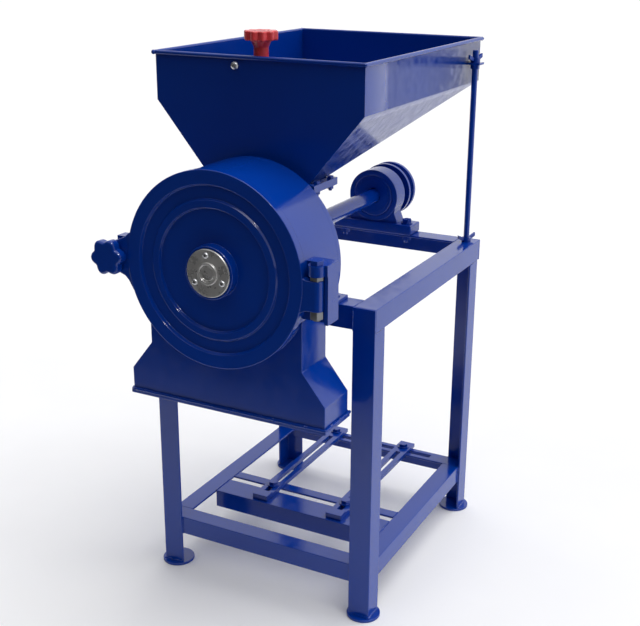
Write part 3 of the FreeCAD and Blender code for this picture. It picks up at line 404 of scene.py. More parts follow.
@dataclass(frozen=True)
class RawCasting:
    """Unpainted grey iron: sand-cast skin, dark, with a trace of rust."""

    name: str
    colour: str = "3A3B3E"
    rust: str = "4A3A32"
    grain_mm: float = 1.4
    stain_scale: float = 35.0

    def build(self) -> Material:
        """Make the material.

        Returns:
            The material.
        """
        skin = Skin(self.name)
        grain = skin.noise(1000 / self.grain_mm, 5.0, Roughness=0.6)
        patch = skin.remap(skin.noise(self.stain_scale, 4.0), (0.52, 0.70), (0.0, 0.7))
        colour = skin.mix(patch, linear(self.colour), linear(self.rust))
        return skin.close(colour, 0.55, Normal=skin.bump(grain, 0.4, 0.3), Metallic=0.6)


class Finishes:
    """Every material of the mill, built once."""

    def __init__(self, hub: tuple[float, float, float]) -> None:
        """Build the materials.

        Args:
            hub: the middle of the turning marks on the hub cover.
        """
        # cold-rolled sheet under sprayed enamel: the smoothest skin on the mill
        self.sheet = Enamel("Blue_enamel_on_sheet_steel", roughness=0.16, peel=0.025,
                            peel_mm=14.0).build()
        # hot-rolled angle under brushed enamel: slightly wavier, chipped at the toes, with a
        # painted highlight along its edges
        self.bar = Enamel("Blue_enamel_on_angle_iron", roughness=0.14, peel=0.12, chip_and_highlight_amount=0.45).build()
        # turned casting, filled and sprayed: even gloss, rubbed at the rim, with a painted
        # highlight along its edges
        self.door = Enamel("Blue_enamel_on_turned_casting", roughness=0.12, peel=0.09,
                           chip_and_highlight_amount=0.8).build()
        # sand casting under enamel: the grain shows through the film
        self.cast = Enamel("Blue_enamel_on_sand_casting", roughness=0.17, peel=0.12,
                           cast_mm=2.5).build()
        # arc weld under enamel: lumpy, so it sparkles
        self.weld = Enamel("Blue_enamel_on_weld_bead", roughness=0.10, peel=0.35, peel_mm=3.0,
                           chip_and_highlight_amount=0.3).build()
        # turned stainless cap, smudged by hands
        self.stainless = BareMetal("Turned_stainless_steel", Metal.STAINLESS, 1.2, hub,
                                   0.72).build()
        # bright zinc plate on small screws
        self.zinc = BareMetal("Bright_zinc_plate", Metal.ZINC, metallic=0.8).build()
        # plain machine steel of nuts, races and rods
        self.steel = BareMetal("Drawn_mild_steel", Metal.STEEL).build()
        # hardened steel that grain has dulled
        self.worn = BareMetal("Grain_worn_hardened_steel", Metal.WORN, 1.6).build()
        # red phenolic hand knob
        self.red = MouldedPlastic("Red_moulded_phenolic", "EE4A4E", "D93C42").build()
        # pale felt strip behind the door
        self.felt = Felt("Pale_felt_strip", "8C8D90", "C9C9C8").build()
        # unpainted castings inside the drum
        self.raw = RawCasting("Raw_grey_iron_casting").build()


# ---- mesh tools ----------------------------------------------------------------------------
def crease_edges(bm: Mesh, degrees: float, shortest: float = 0.0) -> list[bmesh.types.BMEdge]:
    """List the edges where two faces meet at more than an angle.

    Args:
        bm: the mesh.
        degrees: the smallest angle between the faces.
        shortest: edges below this length are left out.

    Returns:
        The edges.
    """
    limit = math.radians(degrees)
    return [
        e for e in bm.edges
        if len(e.link_faces) == 2 and e.calc_face_angle() > limit and e.calc_length() >= shortest
    ]


def round_edges(bm: Mesh, width: float, degrees: float = 30.0, segments: int = 2,
                shortest: float = 0.0) -> None:
    """Round every crease of a mesh.

    Args:
        bm: the mesh.
        width: bevel width.
        degrees: the smallest crease that is rounded.
        segments: bevel segments.
        shortest: creases shorter than this stay sharp.
    """
    edges = crease_edges(bm, degrees, shortest)
    if edges:
        bmesh.ops.bevel(bm, geom=edges, offset=width, offset_type="OFFSET", affect="EDGES",
                        segments=segments, profile=0.5, clamp_overlap=True, material=-1)


def shade(bm: Mesh) -> None:
    """Smooth the curved faces and leave the large flat ones flat.

    Args:
        bm: the mesh.
    """
    slight, curved, small = math.radians(0.2), math.radians(10), 60 * MM * MM
    for face in bm.faces:
        turns = [e.calc_face_angle() for e in face.edges if len(e.link_faces) == 2]
        rolls = any(slight < t < curved for t in turns)
        face.smooth = rolls or face.calc_area() < small


def turn_to(direction: Vector) -> Matrix:
    """Find the rotation that lays local Z along a direction.

    Args:
        direction: a unit vector.

    Returns:
        The rotation.
    """
    return direction.to_track_quat("Z", "Y").to_matrix().to_4x4()


def add_rod(bm: Mesh, start: Vector, end: Vector, radius: float, segments: int = 48,
            rounding: float = 0.0, top_radius: float | None = None) -> None:
    """Add a closed cylinder, cone or prism.

    Args:
        bm: the mesh that gets it.
        start: centre of one end.
        end: centre of the other end.
        radius: radius at the start.
        segments: sides, 6 for a hexagon.
        rounding: bevel width of its edges.
        top_radius: radius at the end, if it differs.
    """
    along = end - start
    part = bmesh.new()
    bmesh.ops.create_cone(part, cap_ends=True, segments=segments, radius1=radius,
                          radius2=radius if top_radius is None else top_radius, depth=along.length)
    if rounding:
        round_edges(part, rounding, 40.0, 3)
    part.transform(Matrix.Translation((start + end) / 2) @ turn_to(along.normalized()))
    merge_in(bm, part)


def merge_in(bm: Mesh, part: Mesh) -> None:
    """Copy one mesh into another and free it.

    Args:
        bm: the mesh that gets it.
        part: the mesh that is copied and freed.
    """
    held = bpy.data.meshes.new("held")
    part.to_mesh(held)
    part.free()
    bm.from_mesh(held)
    bpy.data.meshes.remove(held)


def add_block(bm: Mesh, low: Vector, high: Vector, rounding: float = 0.0) -> None:
    """Add a box with rounded edges.

    Args:
        bm: the mesh that gets it.
        low: lowest corner.
        high: highest corner.
        rounding: bevel width.
    """
    part = bmesh.new()
    bmesh.ops.create_cube(part, size=1.0)
    bmesh.ops.scale(part, vec=high - low, verts=part.verts)
    bmesh.ops.translate(part, vec=(low + high) / 2, verts=part.verts)
    if rounding:
        round_edges(part, rounding, 40.0, 3)
    merge_in(bm, part)


def in_mm(pairs: Sequence[Pair], first: float = 0.0, second: float = 0.0) -> list[Pair]:
    """Turn pairs of millimetres into metres.

    Args:
        pairs: the pairs, such as radius and distance, or X and Z.
        first: what each pair's first number counts from, in metres.
        second: what each pair's second number counts from, in metres.

    Returns:
        The pairs in metres.
    """
    return [(first + a * MM, second + b * MM) for a, b in pairs]


def add_plate(bm: Mesh, outline: Sequence[Pair], y0: float, y1: float,
              rounding: float = 0.0) -> None:
    """Add a flat plate that stands square to Y.

    Args:
        bm: the mesh that gets it.
        outline: its corners in X and Z, in order.
        y0: its front face.
        y1: its back face.
        rounding: bevel width of its edges.
    """
    part = bmesh.new()
    face = part.faces.new([part.verts.new((x, y0, z)) for x, z in outline])
    grown = bmesh.ops.extrude_face_region(part, geom=[face])["geom"]
    moved = [g for g in grown if isinstance(g, bmesh.types.BMVert)]
    bmesh.ops.translate(part, vec=(0, y1 - y0, 0), verts=moved)
    bmesh.ops.recalc_face_normals(part, faces=part.faces)
    if rounding:
        round_edges(part, rounding, 40.0, 4)
    merge_in(bm, part)


def arc_points(x: float, z: float, radius: float, start: float, stop: float,
               steps: int) -> list[Pair]:
    """Space points along an arc.

    Args:
        x: the centre's X.
        z: the centre's Z.
        radius: the arc's radius.
        start: the first angle in degrees, from +X towards +Z.
        stop: the last angle in degrees.
        steps: how many steps lie between them.

    Returns:
        The points in X and Z.
    """
    angles = [math.radians(start + (stop - start) * i / steps) for i in range(steps + 1)]
    return [(x + radius * math.cos(a), z + radius * math.sin(a)) for a in angles]


def add_turned(bm: Mesh, profile: Sequence[Pair], centre: Vector,
               rounding: float = 0.0, steps: int = 120, axis: Axis = Axis.Y) -> None:
    """Spin a closed profile about a line.

    Args:
        bm: the mesh that gets it.
        profile: radius and distance along the axis, in order, from pole to pole or as a ring.
        centre: a point on the axis, from which the distances count.
        rounding: bevel width of the ring edges.
        steps: steps in the full turn.
        axis: the axis of the spin.
    """
    part = bmesh.new()
    out = Vector((1, 0, 0)) if axis is not Axis.X else Vector((0, 0, 1))
    verts = [part.verts.new(out * r + axis.vector * t) for r, t in profile]
    edges = [part.edges.new(pair) for pair in zip(verts, verts[1:])]
    if profile[0][0] > 1e-9:
        edges.append(part.edges.new((verts[-1], verts[0])))
    bmesh.ops.spin(part, geom=verts + edges, cent=(0, 0, 0), axis=axis.vector, angle=math.tau,
                   steps=steps, use_merge=True, use_duplicate=False)
    bmesh.ops.remove_doubles(part, verts=part.verts, dist=1e-7)
    bmesh.ops.recalc_face_normals(part, faces=part.faces)
    if rounding:
        round_edges(part, rounding, 18.0, 4)
    bmesh.ops.translate(part, vec=centre, verts=part.verts)
    merge_in(bm, part)


def add_swept(bm: Mesh, points: Sequence[Vector], radii: Sequence[float],
              segments: int = 8) -> None:
    """Bridge a row of rings along a path.

    Args:
        bm: the mesh that gets it.
        points: the ring centres.
        radii: one radius for each ring.
        segments: sides of the rings.
    """
    part = bmesh.new()
    rings = []
    for i, (point, radius) in enumerate(zip(points, radii)):
        before, after = points[max(i - 1, 0)], points[min(i + 1, len(points) - 1)]
        matrix = Matrix.Translation(point) @ turn_to((after - before).normalized())
        made = bmesh.ops.create_circle(part, segments=segments, radius=radius, matrix=matrix)
        rings.append(list({e for v in made["verts"] for e in v.link_edges}))
    for ring, following in zip(rings, rings[1:]):
        bmesh.ops.bridge_loops(part, edges=ring + following)
    bmesh.ops.holes_fill(part, edges=part.edges, sides=segments)
    bmesh.ops.recalc_face_normals(part, faces=part.faces)
    merge_in(bm, part)


def add_lobed(bm: Mesh, radius: float, lobes: int, depth: float, height: float,
              rounding: float, dish: float = 0.0) -> None:
    """Add a star-shaped knob head, standing on XY.

    Args:
        bm: the mesh that gets it.
        radius: radius over the lobes.
        lobes: how many lobes.
        depth: depth of the scallops.
        height: thickness.
        rounding: bevel width of the rims.
        dish: how deep the top is dished.
    """
    part = bmesh.new()
    sides = lobes * 14
    base = bmesh.ops.create_circle(part, cap_ends=True, segments=sides, radius=radius)["verts"]
    for v in base:
        wave = 0.5 - 0.5 * math.cos(lobes * math.atan2(v.co.y, v.co.x))
        v.co *= 1 - depth / radius * (1 - wave**0.7)
    grown = bmesh.ops.extrude_face_region(part, geom=list(part.faces))["geom"]
    top = [g for g in grown if isinstance(g, bmesh.types.BMVert)]
    bmesh.ops.translate(part, vec=(0, 0, height), verts=top)
    bmesh.ops.recalc_face_normals(part, faces=part.faces)
    rims = [e for e in part.edges if len(e.link_faces) == 2 and e.calc_face_angle() > 1.2]
    bmesh.ops.bevel(part, geom=rims, offset=rounding, offset_type="OFFSET", affect="EDGES",
                    segments=4, profile=0.5, clamp_overlap=True, material=-1)
    if dish:
        cap = max(part.faces, key=lambda f: f.calc_center_median().z + f.calc_area())
        bmesh.ops.inset_region(part, faces=[cap], thickness=radius * 0.22, use_even_offset=True)
        bmesh.ops.translate(part, vec=(0, 0, -dish), verts=list(cap.verts))
    merge_in(bm, part)


# ---- the workshop --------------------------------------------------------------------------
@dataclass
class Workshop:
    """Holds the frame and the finishes, and puts finished pieces on their bodies."""

    frame: dict
    finish: Finishes
    rng: random.Random = field(default_factory=lambda: random.Random(11))

    def __post_init__(self) -> None:
        """Note the body and the material slot of every CAD node."""
        record = self.frame["record"]
        self.body_of = {n: b for b, ns in record["behaviour"]["bodies"].items() for n in ns}
        self.slot_of = {s["node"]: s["material_slot"] for s in record["subparts"]}

    def place(self, bm: Mesh, name: str, material: Material, body: str,
              stands_for: Iterable[str] = (), slot: str | None = None, smooth: float = 32.0,
              extra: Sequence[Material] = ()) -> None:
        """Turn a mesh into a finished piece.

        Args:
            bm: the mesh, in the row frame; it is freed.
            name: the piece's name.
            material: its finish.
            body: the body it rides on.
            stands_for: CAD nodes that it replaces.
            slot: not used.
            smooth: edges sharper than this many degrees stay crisp.
            extra: further materials, for faces with a higher material index.
        """
        mesh = bpy.data.meshes.new(name)
        shade(bm)
        bm.to_mesh(mesh)
        bm.free()
        for each in (material, *extra):
            mesh.materials.append(each)
        mesh.set_sharp_from_angle(angle=math.radians(smooth))
        piece = bpy.data.objects.new(name, mesh)
        bpy.context.scene.collection.objects.link(piece)
        # big flat faces keep their own normals beside rounded edges
        flats = piece.modifiers.new("flats", "WEIGHTED_NORMAL")
        flats.keep_sharp = True
        flats.weight = 100
        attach(piece, body)
        nodes = list(stands_for)
        if nodes:
            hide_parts(*nodes)
        LOG.info("%s: %d faces on %s", name, len(mesh.polygons), body)

    def copy_of(self, node: str) -> Mesh:
        """Copy a CAD node's mesh, with its flat faces joined up.

        Args:
            node: the CAD node.

        Returns:
            The copy.
        """
        bm = bmesh.new()
        bm.from_mesh(self.frame["nodes"][node].data)
        bmesh.ops.remove_doubles(bm, verts=bm.verts, dist=2e-6)
        bmesh.ops.dissolve_limit(bm, angle_limit=math.radians(0.3), verts=bm.verts, edges=bm.edges)
        return bm

    def dress(self, node: str, material: Material, width_mm: float = 0.8,
              segments: int = 2, shortest_mm: float = 4.0, degrees: float = 30.0) -> None:
        """Replace a CAD node by a copy with rounded edges and a finish.

        Args:
            node: the CAD node.
            material: the finish.
            width_mm: bevel width.
            segments: bevel segments.
            shortest_mm: edges below this length stay as they are.
            degrees: the smallest crease that is rounded.
        """
        bm = self.copy_of(node)
        round_edges(bm, width_mm * MM, degrees, segments, shortest_mm * MM)
        self.place(bm, "made_" + node, material, self.body_of[node], [node])

    def paint(self, node: str, material: Material) -> None:
        """Give a CAD node a finish and leave its shape alone.

        Args:
            node: the CAD node.
            material: the finish.
        """
        mesh = self.frame["nodes"][node].data
        mesh.materials.clear()
        mesh.materials.append(material)

    def weld(self, bm: Mesh, points: Sequence[Vector], radius_mm: float = 2.6) -> None:
        """Lay a weld bead with ripples along a path.

        Args:
            bm: the mesh that gets it.
            points: corners of the path.
            radius_mm: the bead's radius.
        """
        pitch = 2.2 * MM
        row = [points[0]]
        for start, end in zip(points, points[1:]):
            count = max(2, round((end - start).length / pitch))
            row += [start.lerp(end, (i + 1) / count) for i in range(count)]
        radii = []
        for i, _ in enumerate(row):
            ripple = 0.84 if i % 2 else 1.0
            ends = min(1.0, 0.45 + 0.3 * min(i, len(row) - 1 - i))
            radii.append(radius_mm * MM * ripple * ends * self.rng.uniform(0.86, 1.12))
        sway = 0.35 * MM
        row = [p + Vector([self.rng.uniform(-sway, sway) for _ in range(3)]) for p in row]
        add_swept(bm, row, radii)


# ---- stand ---------------------------------------------------------------------------------
@dataclass
class Stand:
    """Welded angle-iron frame on round foot pads."""

    shop: Workshop
    toe_mm: float = 1.3
    leaf_mm: float = 4.0
    rail_bead_mm: float = 2.2
    cap_bead_mm: float = 1.5
    pad_bead_mm: float = 2.4
    cross_bead_mm: float = 2.0

    def build(self) -> None:
        """Make the legs, the rails, the pads and the welds between them."""
        bar = self.shop.finish.bar
        levels, rails = ("top", "low"), ENDS + SIDES
        names = [f"{level}_rail_{word}" for level in levels for word in rails]
        names += [f"stand_leg_{end}_{side}" for end in ENDS for side in SIDES]
        for name in names:
            self.shop.dress(name, bar, self.toe_mm, 3, 8.0)
        self.shop.dress("motor_cross_members", bar, 1.0, 3, 8.0)
        self.shop.dress("foot_pads", bar, 0.9, 3, 2.0)
        self.weld_joints()

    def weld_joints(self) -> None:
        """Lay the beads where rails meet legs and legs meet pads."""
        bm = bmesh.new()
        for end in ENDS:
            for side in SIDES:
                low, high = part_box(f"stand_leg_{end}_{side}")
                inward, back = 1 if side == "left" else -1, 1 if end == "front" else -1
                self.weld_leg(bm, low, high, inward, back)
        low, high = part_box("motor_cross_members")
        for x in (low.x, high.x):
            for y0, y1 in ((low.y, low.y + 50 * MM), (high.y - 20 * MM, high.y)):
                self.bead(bm, [(x, y0, high.z), (x, y1, high.z)], self.cross_bead_mm)
        self.shop.place(bm, "stand_welds", self.shop.finish.weld, "stand", slot="blue_enamel")

    def bead(self, bm: Mesh, path: Sequence[Sequence[float]], radius_mm: float) -> None:
        """Lay one bead.

        Args:
            bm: the mesh that gets it.
            path: corners of its path.
            radius_mm: its radius.
        """
        self.shop.weld(bm, [Vector(spot) for spot in path], radius_mm)

    def weld_leg(self, bm: Mesh, low: Vector, high: Vector, inward: int,
                 back: int) -> None:
        """Lay the beads of one leg.

        Args:
            bm: the mesh that gets them.
            low: the leg's lowest corner.
            high: the leg's highest corner.
            inward: +1 where the middle of the stand is towards +X.
            back: +1 where the middle of the stand is towards +Y.
        """
        x_out, x_in = (low.x, high.x) if inward > 0 else (high.x, low.x)
        y_out, y_in = (low.y, high.y) if back > 0 else (high.y, low.y)
        rail_low, rail_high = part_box("low_rail_left")
        top_low, top_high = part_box("top_rail_left")
        face_x = x_out + inward * self.leaf_mm * MM
        face_y = y_out + back * self.leaf_mm * MM
        for z0, z1 in ((rail_low.z, rail_high.z), (top_low.z, top_high.z - 5 * MM)):
            self.bead(bm, [(x_in, face_y, z0), (x_in, face_y, z1)], self.rail_bead_mm)
            self.bead(bm, [(face_x, y_in, z0), (face_x, y_in, z1)], self.rail_bead_mm)
        cap = [(x_in, y_out, top_low.z), (x_in, y_out, top_high.z - 2 * MM)]
        self.bead(bm, cap, self.cap_bead_mm)
        pad = low.z + 0.6 * MM
        toes = [(x_in, y_out, pad), (x_out, y_out, pad), (x_out, y_in, pad)]
        self.bead(bm, toes, self.pad_bead_mm)


# ---- motor slides --------------------------------------------------------------------------
@dataclass
class MotorSlides:
    """Slotted flat-bar slides that carry the motor, with their bolts."""

    shop: Workshop

    def build(self) -> None:
        """Make both slides and their bolts."""
        for word in SIDES:
            self.shop.dress(f"motor_slide_{word}", self.shop.finish.bar, 0.8, 2, 6.0)
            self.shop.dress(f"slide_bolts_{word}", self.shop.finish.bar, 0.5, 2, 3.0)


# ---- drum ----------------------------------------------------------------------------------
@dataclass
class Drum:
    """Milling drum, its back plate, brackets, hinge arm and discharge chute."""

    shop: Workshop
    screw_drop_mm: float = 60.0
    screw_depth_mm: float = 40.0
    lip_mm: float = 7.5
    lip_bead_mm: float = 3.0
    seam_bead_mm: float = 2.0
    seam_degrees: Pair = (208.0, 332.0)

    def build(self) -> None:
        """Make the drum and everything fixed to it."""
        finish = self.shop.finish
        self.shop.dress("drum_shell", finish.door, 0.9, 3, 3.0)
        self.shop.dress("back_plate", finish.door, 0.9, 2, 3.0)
        self.shop.paint("door_seal", finish.felt)
        self.shop.dress("discharge_chute", finish.sheet, 1.4, 3, 6.0)
        self.shop.dress("drum_brackets", finish.bar, 1.0, 2, 5.0)
        self.shop.dress("hinge_bracket", finish.cast, 2.2, 4, 3.0)
        self.hinge_bolt()
        self.bolts()
        self.weld_chute()

    def bolts(self) -> None:
        """Round the painted frame bolts, and add one bright domed screw on the hopper's front."""
        hopper_low, hopper_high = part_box("hopper")
        lowest = hopper_high.z - self.screw_drop_mm * MM
        rearmost = hopper_low.y + self.screw_depth_mm * MM
        bm = self.shop.copy_of("machine_bolts")
        round_edges(bm, 0.5 * MM, 30.0, 2, 2.5 * MM)
        screw = [v.co for v in bm.verts if v.co.z > lowest and v.co.y < rearmost]
        x, z = ((min(c[i] for c in screw) + max(c[i] for c in screw)) / 2 for i in (0, 2))
        front = min(c.y for c in screw)
        for face in bm.faces:
            spot = face.calc_center_median()
            face.material_index = int(spot.z > lowest and spot.y < rearmost)
        dome = bmesh.new()
        profile = in_mm([(0, -1.6), (3, -1.3), (5.4, -0.2), (6.6, 1.6), (6.8, 3), (0, 3)])
        add_turned(dome, profile, Vector((x, front, z)), 0.3 * MM, 40)
        for face in dome.faces:
            face.material_index = 1
        merge_in(bm, dome)
        finish = self.shop.finish
        self.shop.place(bm, "made_machine_bolts", finish.bar, "stand", ["machine_bolts"],
                        extra=[finish.zinc])

    def hinge_bolt(self) -> None:
        """Round the hinge bolt: its head is under paint, and the nuts beside the ear are bare."""
        arm_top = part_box("hinge_bracket")[1].z
        bm = self.shop.copy_of("hinge_pin")
        round_edges(bm, 0.5 * MM, 30.0, 2, 2.0 * MM)
        for face in bm.faces:
            face.material_index = int(face.calc_center_median().z < arm_top - 1 * MM)
        finish = self.shop.finish
        self.shop.place(bm, "made_hinge_pin", finish.cast, "stand", ["hinge_pin"],
                        extra=[finish.steel])

    def weld_chute(self) -> None:
        """Lay the rough bead along the lip, and the seams where the chute meets the drum."""
        low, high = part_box("discharge_chute")
        plate_low, plate_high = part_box("back_plate")
        centre_z = (plate_low.z + plate_high.z) / 2
        radius = (plate_high.x - plate_low.x) / 2
        bm = bmesh.new()
        lip, edge, inset = low.z + self.lip_mm * MM, 1.2 * MM, 3 * MM
        x0, x1, y0, y1 = low.x + edge, high.x - edge, low.y + edge, high.y - edge
        corners = [Vector((x, y, lip)) for x, y in ((x0, y0), (x1, y0), (x1, y1), (x0, y1))]
        self.shop.weld(bm, corners + [corners[0]], self.lip_bead_mm)
        for y in (low.y + inset, high.y - inset):
            arc = arc_points(0.0, centre_z, radius, *self.seam_degrees, 48)
            row = [Vector((x, y, z)) for x, z in arc]
            inside = [p for p in row if low.x + 40 * MM < p.x < high.x - 40 * MM]
            self.shop.weld(bm, inside, self.seam_bead_mm)
        self.shop.place(bm, "chute_welds", self.shop.finish.weld, "stand", slot="blue_enamel")


# ---- door ----------------------------------------------------------------------------------
@dataclass
class Door:
    """Round turned door with its hub, hinge ear and clamp ear."""

    shop: Workshop
    plate_mm: float = 15.0
    ear_drop_mm: float = 14.0
    ear_half_mm: float = 24.0
    clamp_ear_mm: float = 22.0
    screw_circle_mm: float = 29.0
    shade_cross_mm: tuple[float, float, float] = (5.2, 0.5, 1.0)
    knob_mm: float = 31.0
    knob_thick_mm: float = 20.0
    knob_crown_mm: float = 1.8
    stud_mm: float = 6.0

    def build(self) -> None:
        """Make the door, the hub cover and the clamp knob."""
        low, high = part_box("door")
        hub_low, hub_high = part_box("hub_cover")
        self.centre = Vector(((hub_low.x + hub_high.x) / 2, 0.0, (hub_low.z + hub_high.z) / 2))
        self.radius = (high.z - low.z) / 2
        self.cover_radius = (hub_high.x - hub_low.x) / 2
        self.disc()
        self.hub()
        self.knob()

    def disc(self) -> None:
        """Spin the ribbed disc, and add the boss and the ears from the hinge to the clamp."""
        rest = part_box("door_seal")[0].y - 0.3 * MM
        face, r = rest - self.plate_mm * MM, self.radius
        socket, boss = self.cover_radius + 0.4 * MM, self.cover_radius + 4.5 * MM
        profile = in_mm([(0, -5)], 0.0, face) + in_mm([(0, -5), (0, -9)], socket, face)
        profile += in_mm([(-1, -9), (0, -7.5), (0, 8)], boss, face)
        profile += in_mm([(-61, 8), (-59, 3), (-47.5, 3), (-45, 6.5), (-25, 6.5), (-22.5, 0.6),
                          (-1, 0), (0, 0.9)], r, face)
        profile += in_mm([(0, 0), (-14, 0), (-15, 4)], r, rest) + in_mm([(0, 4)], 0.0, rest)
        bm = bmesh.new()
        add_turned(bm, profile, self.centre, 1.1 * MM, 160)
        self.hinge_ear(bm)
        self.clamp_ear(bm, face + 1 * MM, rest)
        self.shop.place(bm, "made_door", self.shop.finish.door, "door_body", ["door"])

    def hinge_ear(self, bm: Mesh) -> None:
        """Add the broad flat ear that the hinge bolt runs through.

        Args:
            bm: the door's mesh.
        """
        middle, half = self.centre.z - self.ear_drop_mm * MM, self.ear_half_mm * MM
        pin_low, pin_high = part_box("hinge_pin")
        pin = (pin_low + pin_high) / 2
        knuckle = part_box("door")[1].x - pin.x
        low, high = middle - half, middle + half
        outline = in_mm([(-16, -13), (-3.5, -4), (5, 0)], self.radius, low)
        outline += [(pin.x + 2 * MM, low), (pin.x + 2 * MM, high)]
        outline += in_mm([(5, 0), (-3.5, 4), (-16, 13)], self.radius, high)
        add_plate(bm, outline, pin.y - knuckle, pin.y + knuckle - 8 * MM, 1.4 * MM)
        foot, head = Vector((pin.x, pin.y, low)), Vector((pin.x, pin.y, high))
        add_rod(bm, foot, head, knuckle, 40, 1.2 * MM)

    def clamp_ear(self, bm: Mesh, front: float, back: float) -> None:
        """Add the flared ear that the clamp's stud runs through.

        Args:
            bm: the door's mesh.
            front: the ear's front face.
            back: the ear's back face.
        """
        low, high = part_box("clamp_knob")
        x, z, rim = (low.x + high.x) / 2, self.centre.z, -self.radius
        outline = in_mm([(20, 52), (3, 42), (-6, 34)], rim, z) + in_mm([(14, 29), (4, 25)], x, z)
        outline += arc_points(x, z, self.clamp_ear_mm * MM, 95, 262, 12)
        outline += in_mm([(10, -26)], x, z)
        outline += in_mm([(-8, -31), (-1, -38), (7, -52), (24, -68)], rim, z)
        add_plate(bm, outline, front, back, 1.8 * MM)

    def hub(self) -> None:
        """Spin the stainless hub cover and set its three screws."""
        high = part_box("hub_cover")[1]
        back, face = high.y + 0.2 * MM, high.y - 6 * MM
        profile = in_mm([(0, -1.2), (10.5, -1.2), (12, -0.2), (13.6, 0), (14.2, -2.6), (15.2, -3),
                         (17.2, -3), (18, -2.4), (18.2, 0.3), (19.5, 0)], 0.0, face)
        profile += in_mm([(-1.2, 0), (0, 1.2)], self.cover_radius, face)
        profile += [(self.cover_radius, back), (0.0, back)]
        finish = self.shop.finish
        bm = bmesh.new()
        add_turned(bm, profile, self.centre, 0.35 * MM, 120)
        self.shop.place(bm, "made_hub_cover", finish.stainless, "door_body", ["hub_cover"])
        bm = bmesh.new()
        for k in range(3):
            self.screw(bm, math.radians(95 + 120 * k), face, k)
        # the screws' second finish is dark iron, the painted shade of their cross recesses
        self.shop.place(bm, "made_hub_screws", finish.zinc, "door_body", ["hub_screws"],
                        extra=[finish.raw])

    def screw(self, bm: Mesh, angle: float, face: float, turned: float) -> None:
        """Set one domed screw with a cross of thin dark bars in its dome, painted shade where its
        cross recess would be.

        Args:
            bm: the screws' mesh.
            angle: where it sits about the hub, in radians.
            face: the cover's face.
            turned: how far its cross is turned, in radians.
        """
        circle = self.screw_circle_mm * MM
        spot = Vector((self.centre.x + circle * math.cos(angle), 0.0,
                       self.centre.z + circle * math.sin(angle)))
        head = in_mm([(0, -3.2), (2.4, -3.0), (4.2, -2.2), (5, -0.9), (5, 0), (0, 0)], 0.0, face)
        add_turned(bm, head, spot, 0.2 * MM, 32)
        # painted shade: two thin bars with the dark iron finish stand for the shadowed cross recess
        for arm in (0.4, 0.4 + math.pi / 2):
            part = bmesh.new()
            bmesh.ops.create_cube(part, size=1.0)
            bmesh.ops.scale(part, vec=[s * MM for s in self.shade_cross_mm], verts=part.verts)
            part.transform(Matrix.Translation(spot + Vector((0, face - 3.05 * MM, 0)))
                           @ Matrix.Rotation(arm + turned, 4, "Y"))
            for side in part.faces:
                side.material_index = 1
            merge_in(bm, part)

    def knob(self) -> None:
        """Shape the six-lobed clamp knob and its stud."""
        low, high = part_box("clamp_knob")
        centre = Vector(((low.x + high.x) / 2, low.y, self.centre.z))
        radius = (high.z - low.z) / 2
        thick, crown = self.knob_thick_mm * MM, self.knob_crown_mm * MM
        bm, head = bmesh.new(), bmesh.new()
        add_lobed(head, self.knob_mm * MM, 6, 6.2 * MM, thick, 4.8 * MM)
        top = max(v.co.z for v in head.verts)
        for v in head.verts:
            if v.co.z > top - 5 * MM:
                v.co.z += crown * (1 - (v.co.xy.length / radius) ** 2) - crown
        head.transform(Matrix.Translation(centre + Vector((0, thick, 0)))
                       @ Matrix.Rotation(math.pi / 2, 4, "X")
                       @ Matrix.Rotation(math.radians(-23), 4, "Z"))
        merge_in(bm, head)
        foot, tip = centre + Vector((0, 18 * MM, 0)), Vector((centre.x, high.y, centre.z))
        add_rod(bm, foot, tip, self.stud_mm * MM, 32, 0.8 * MM)
        self.shop.place(bm, "made_clamp_knob", self.shop.finish.door, "clamp_knob_body",
                        ["clamp_knob"])


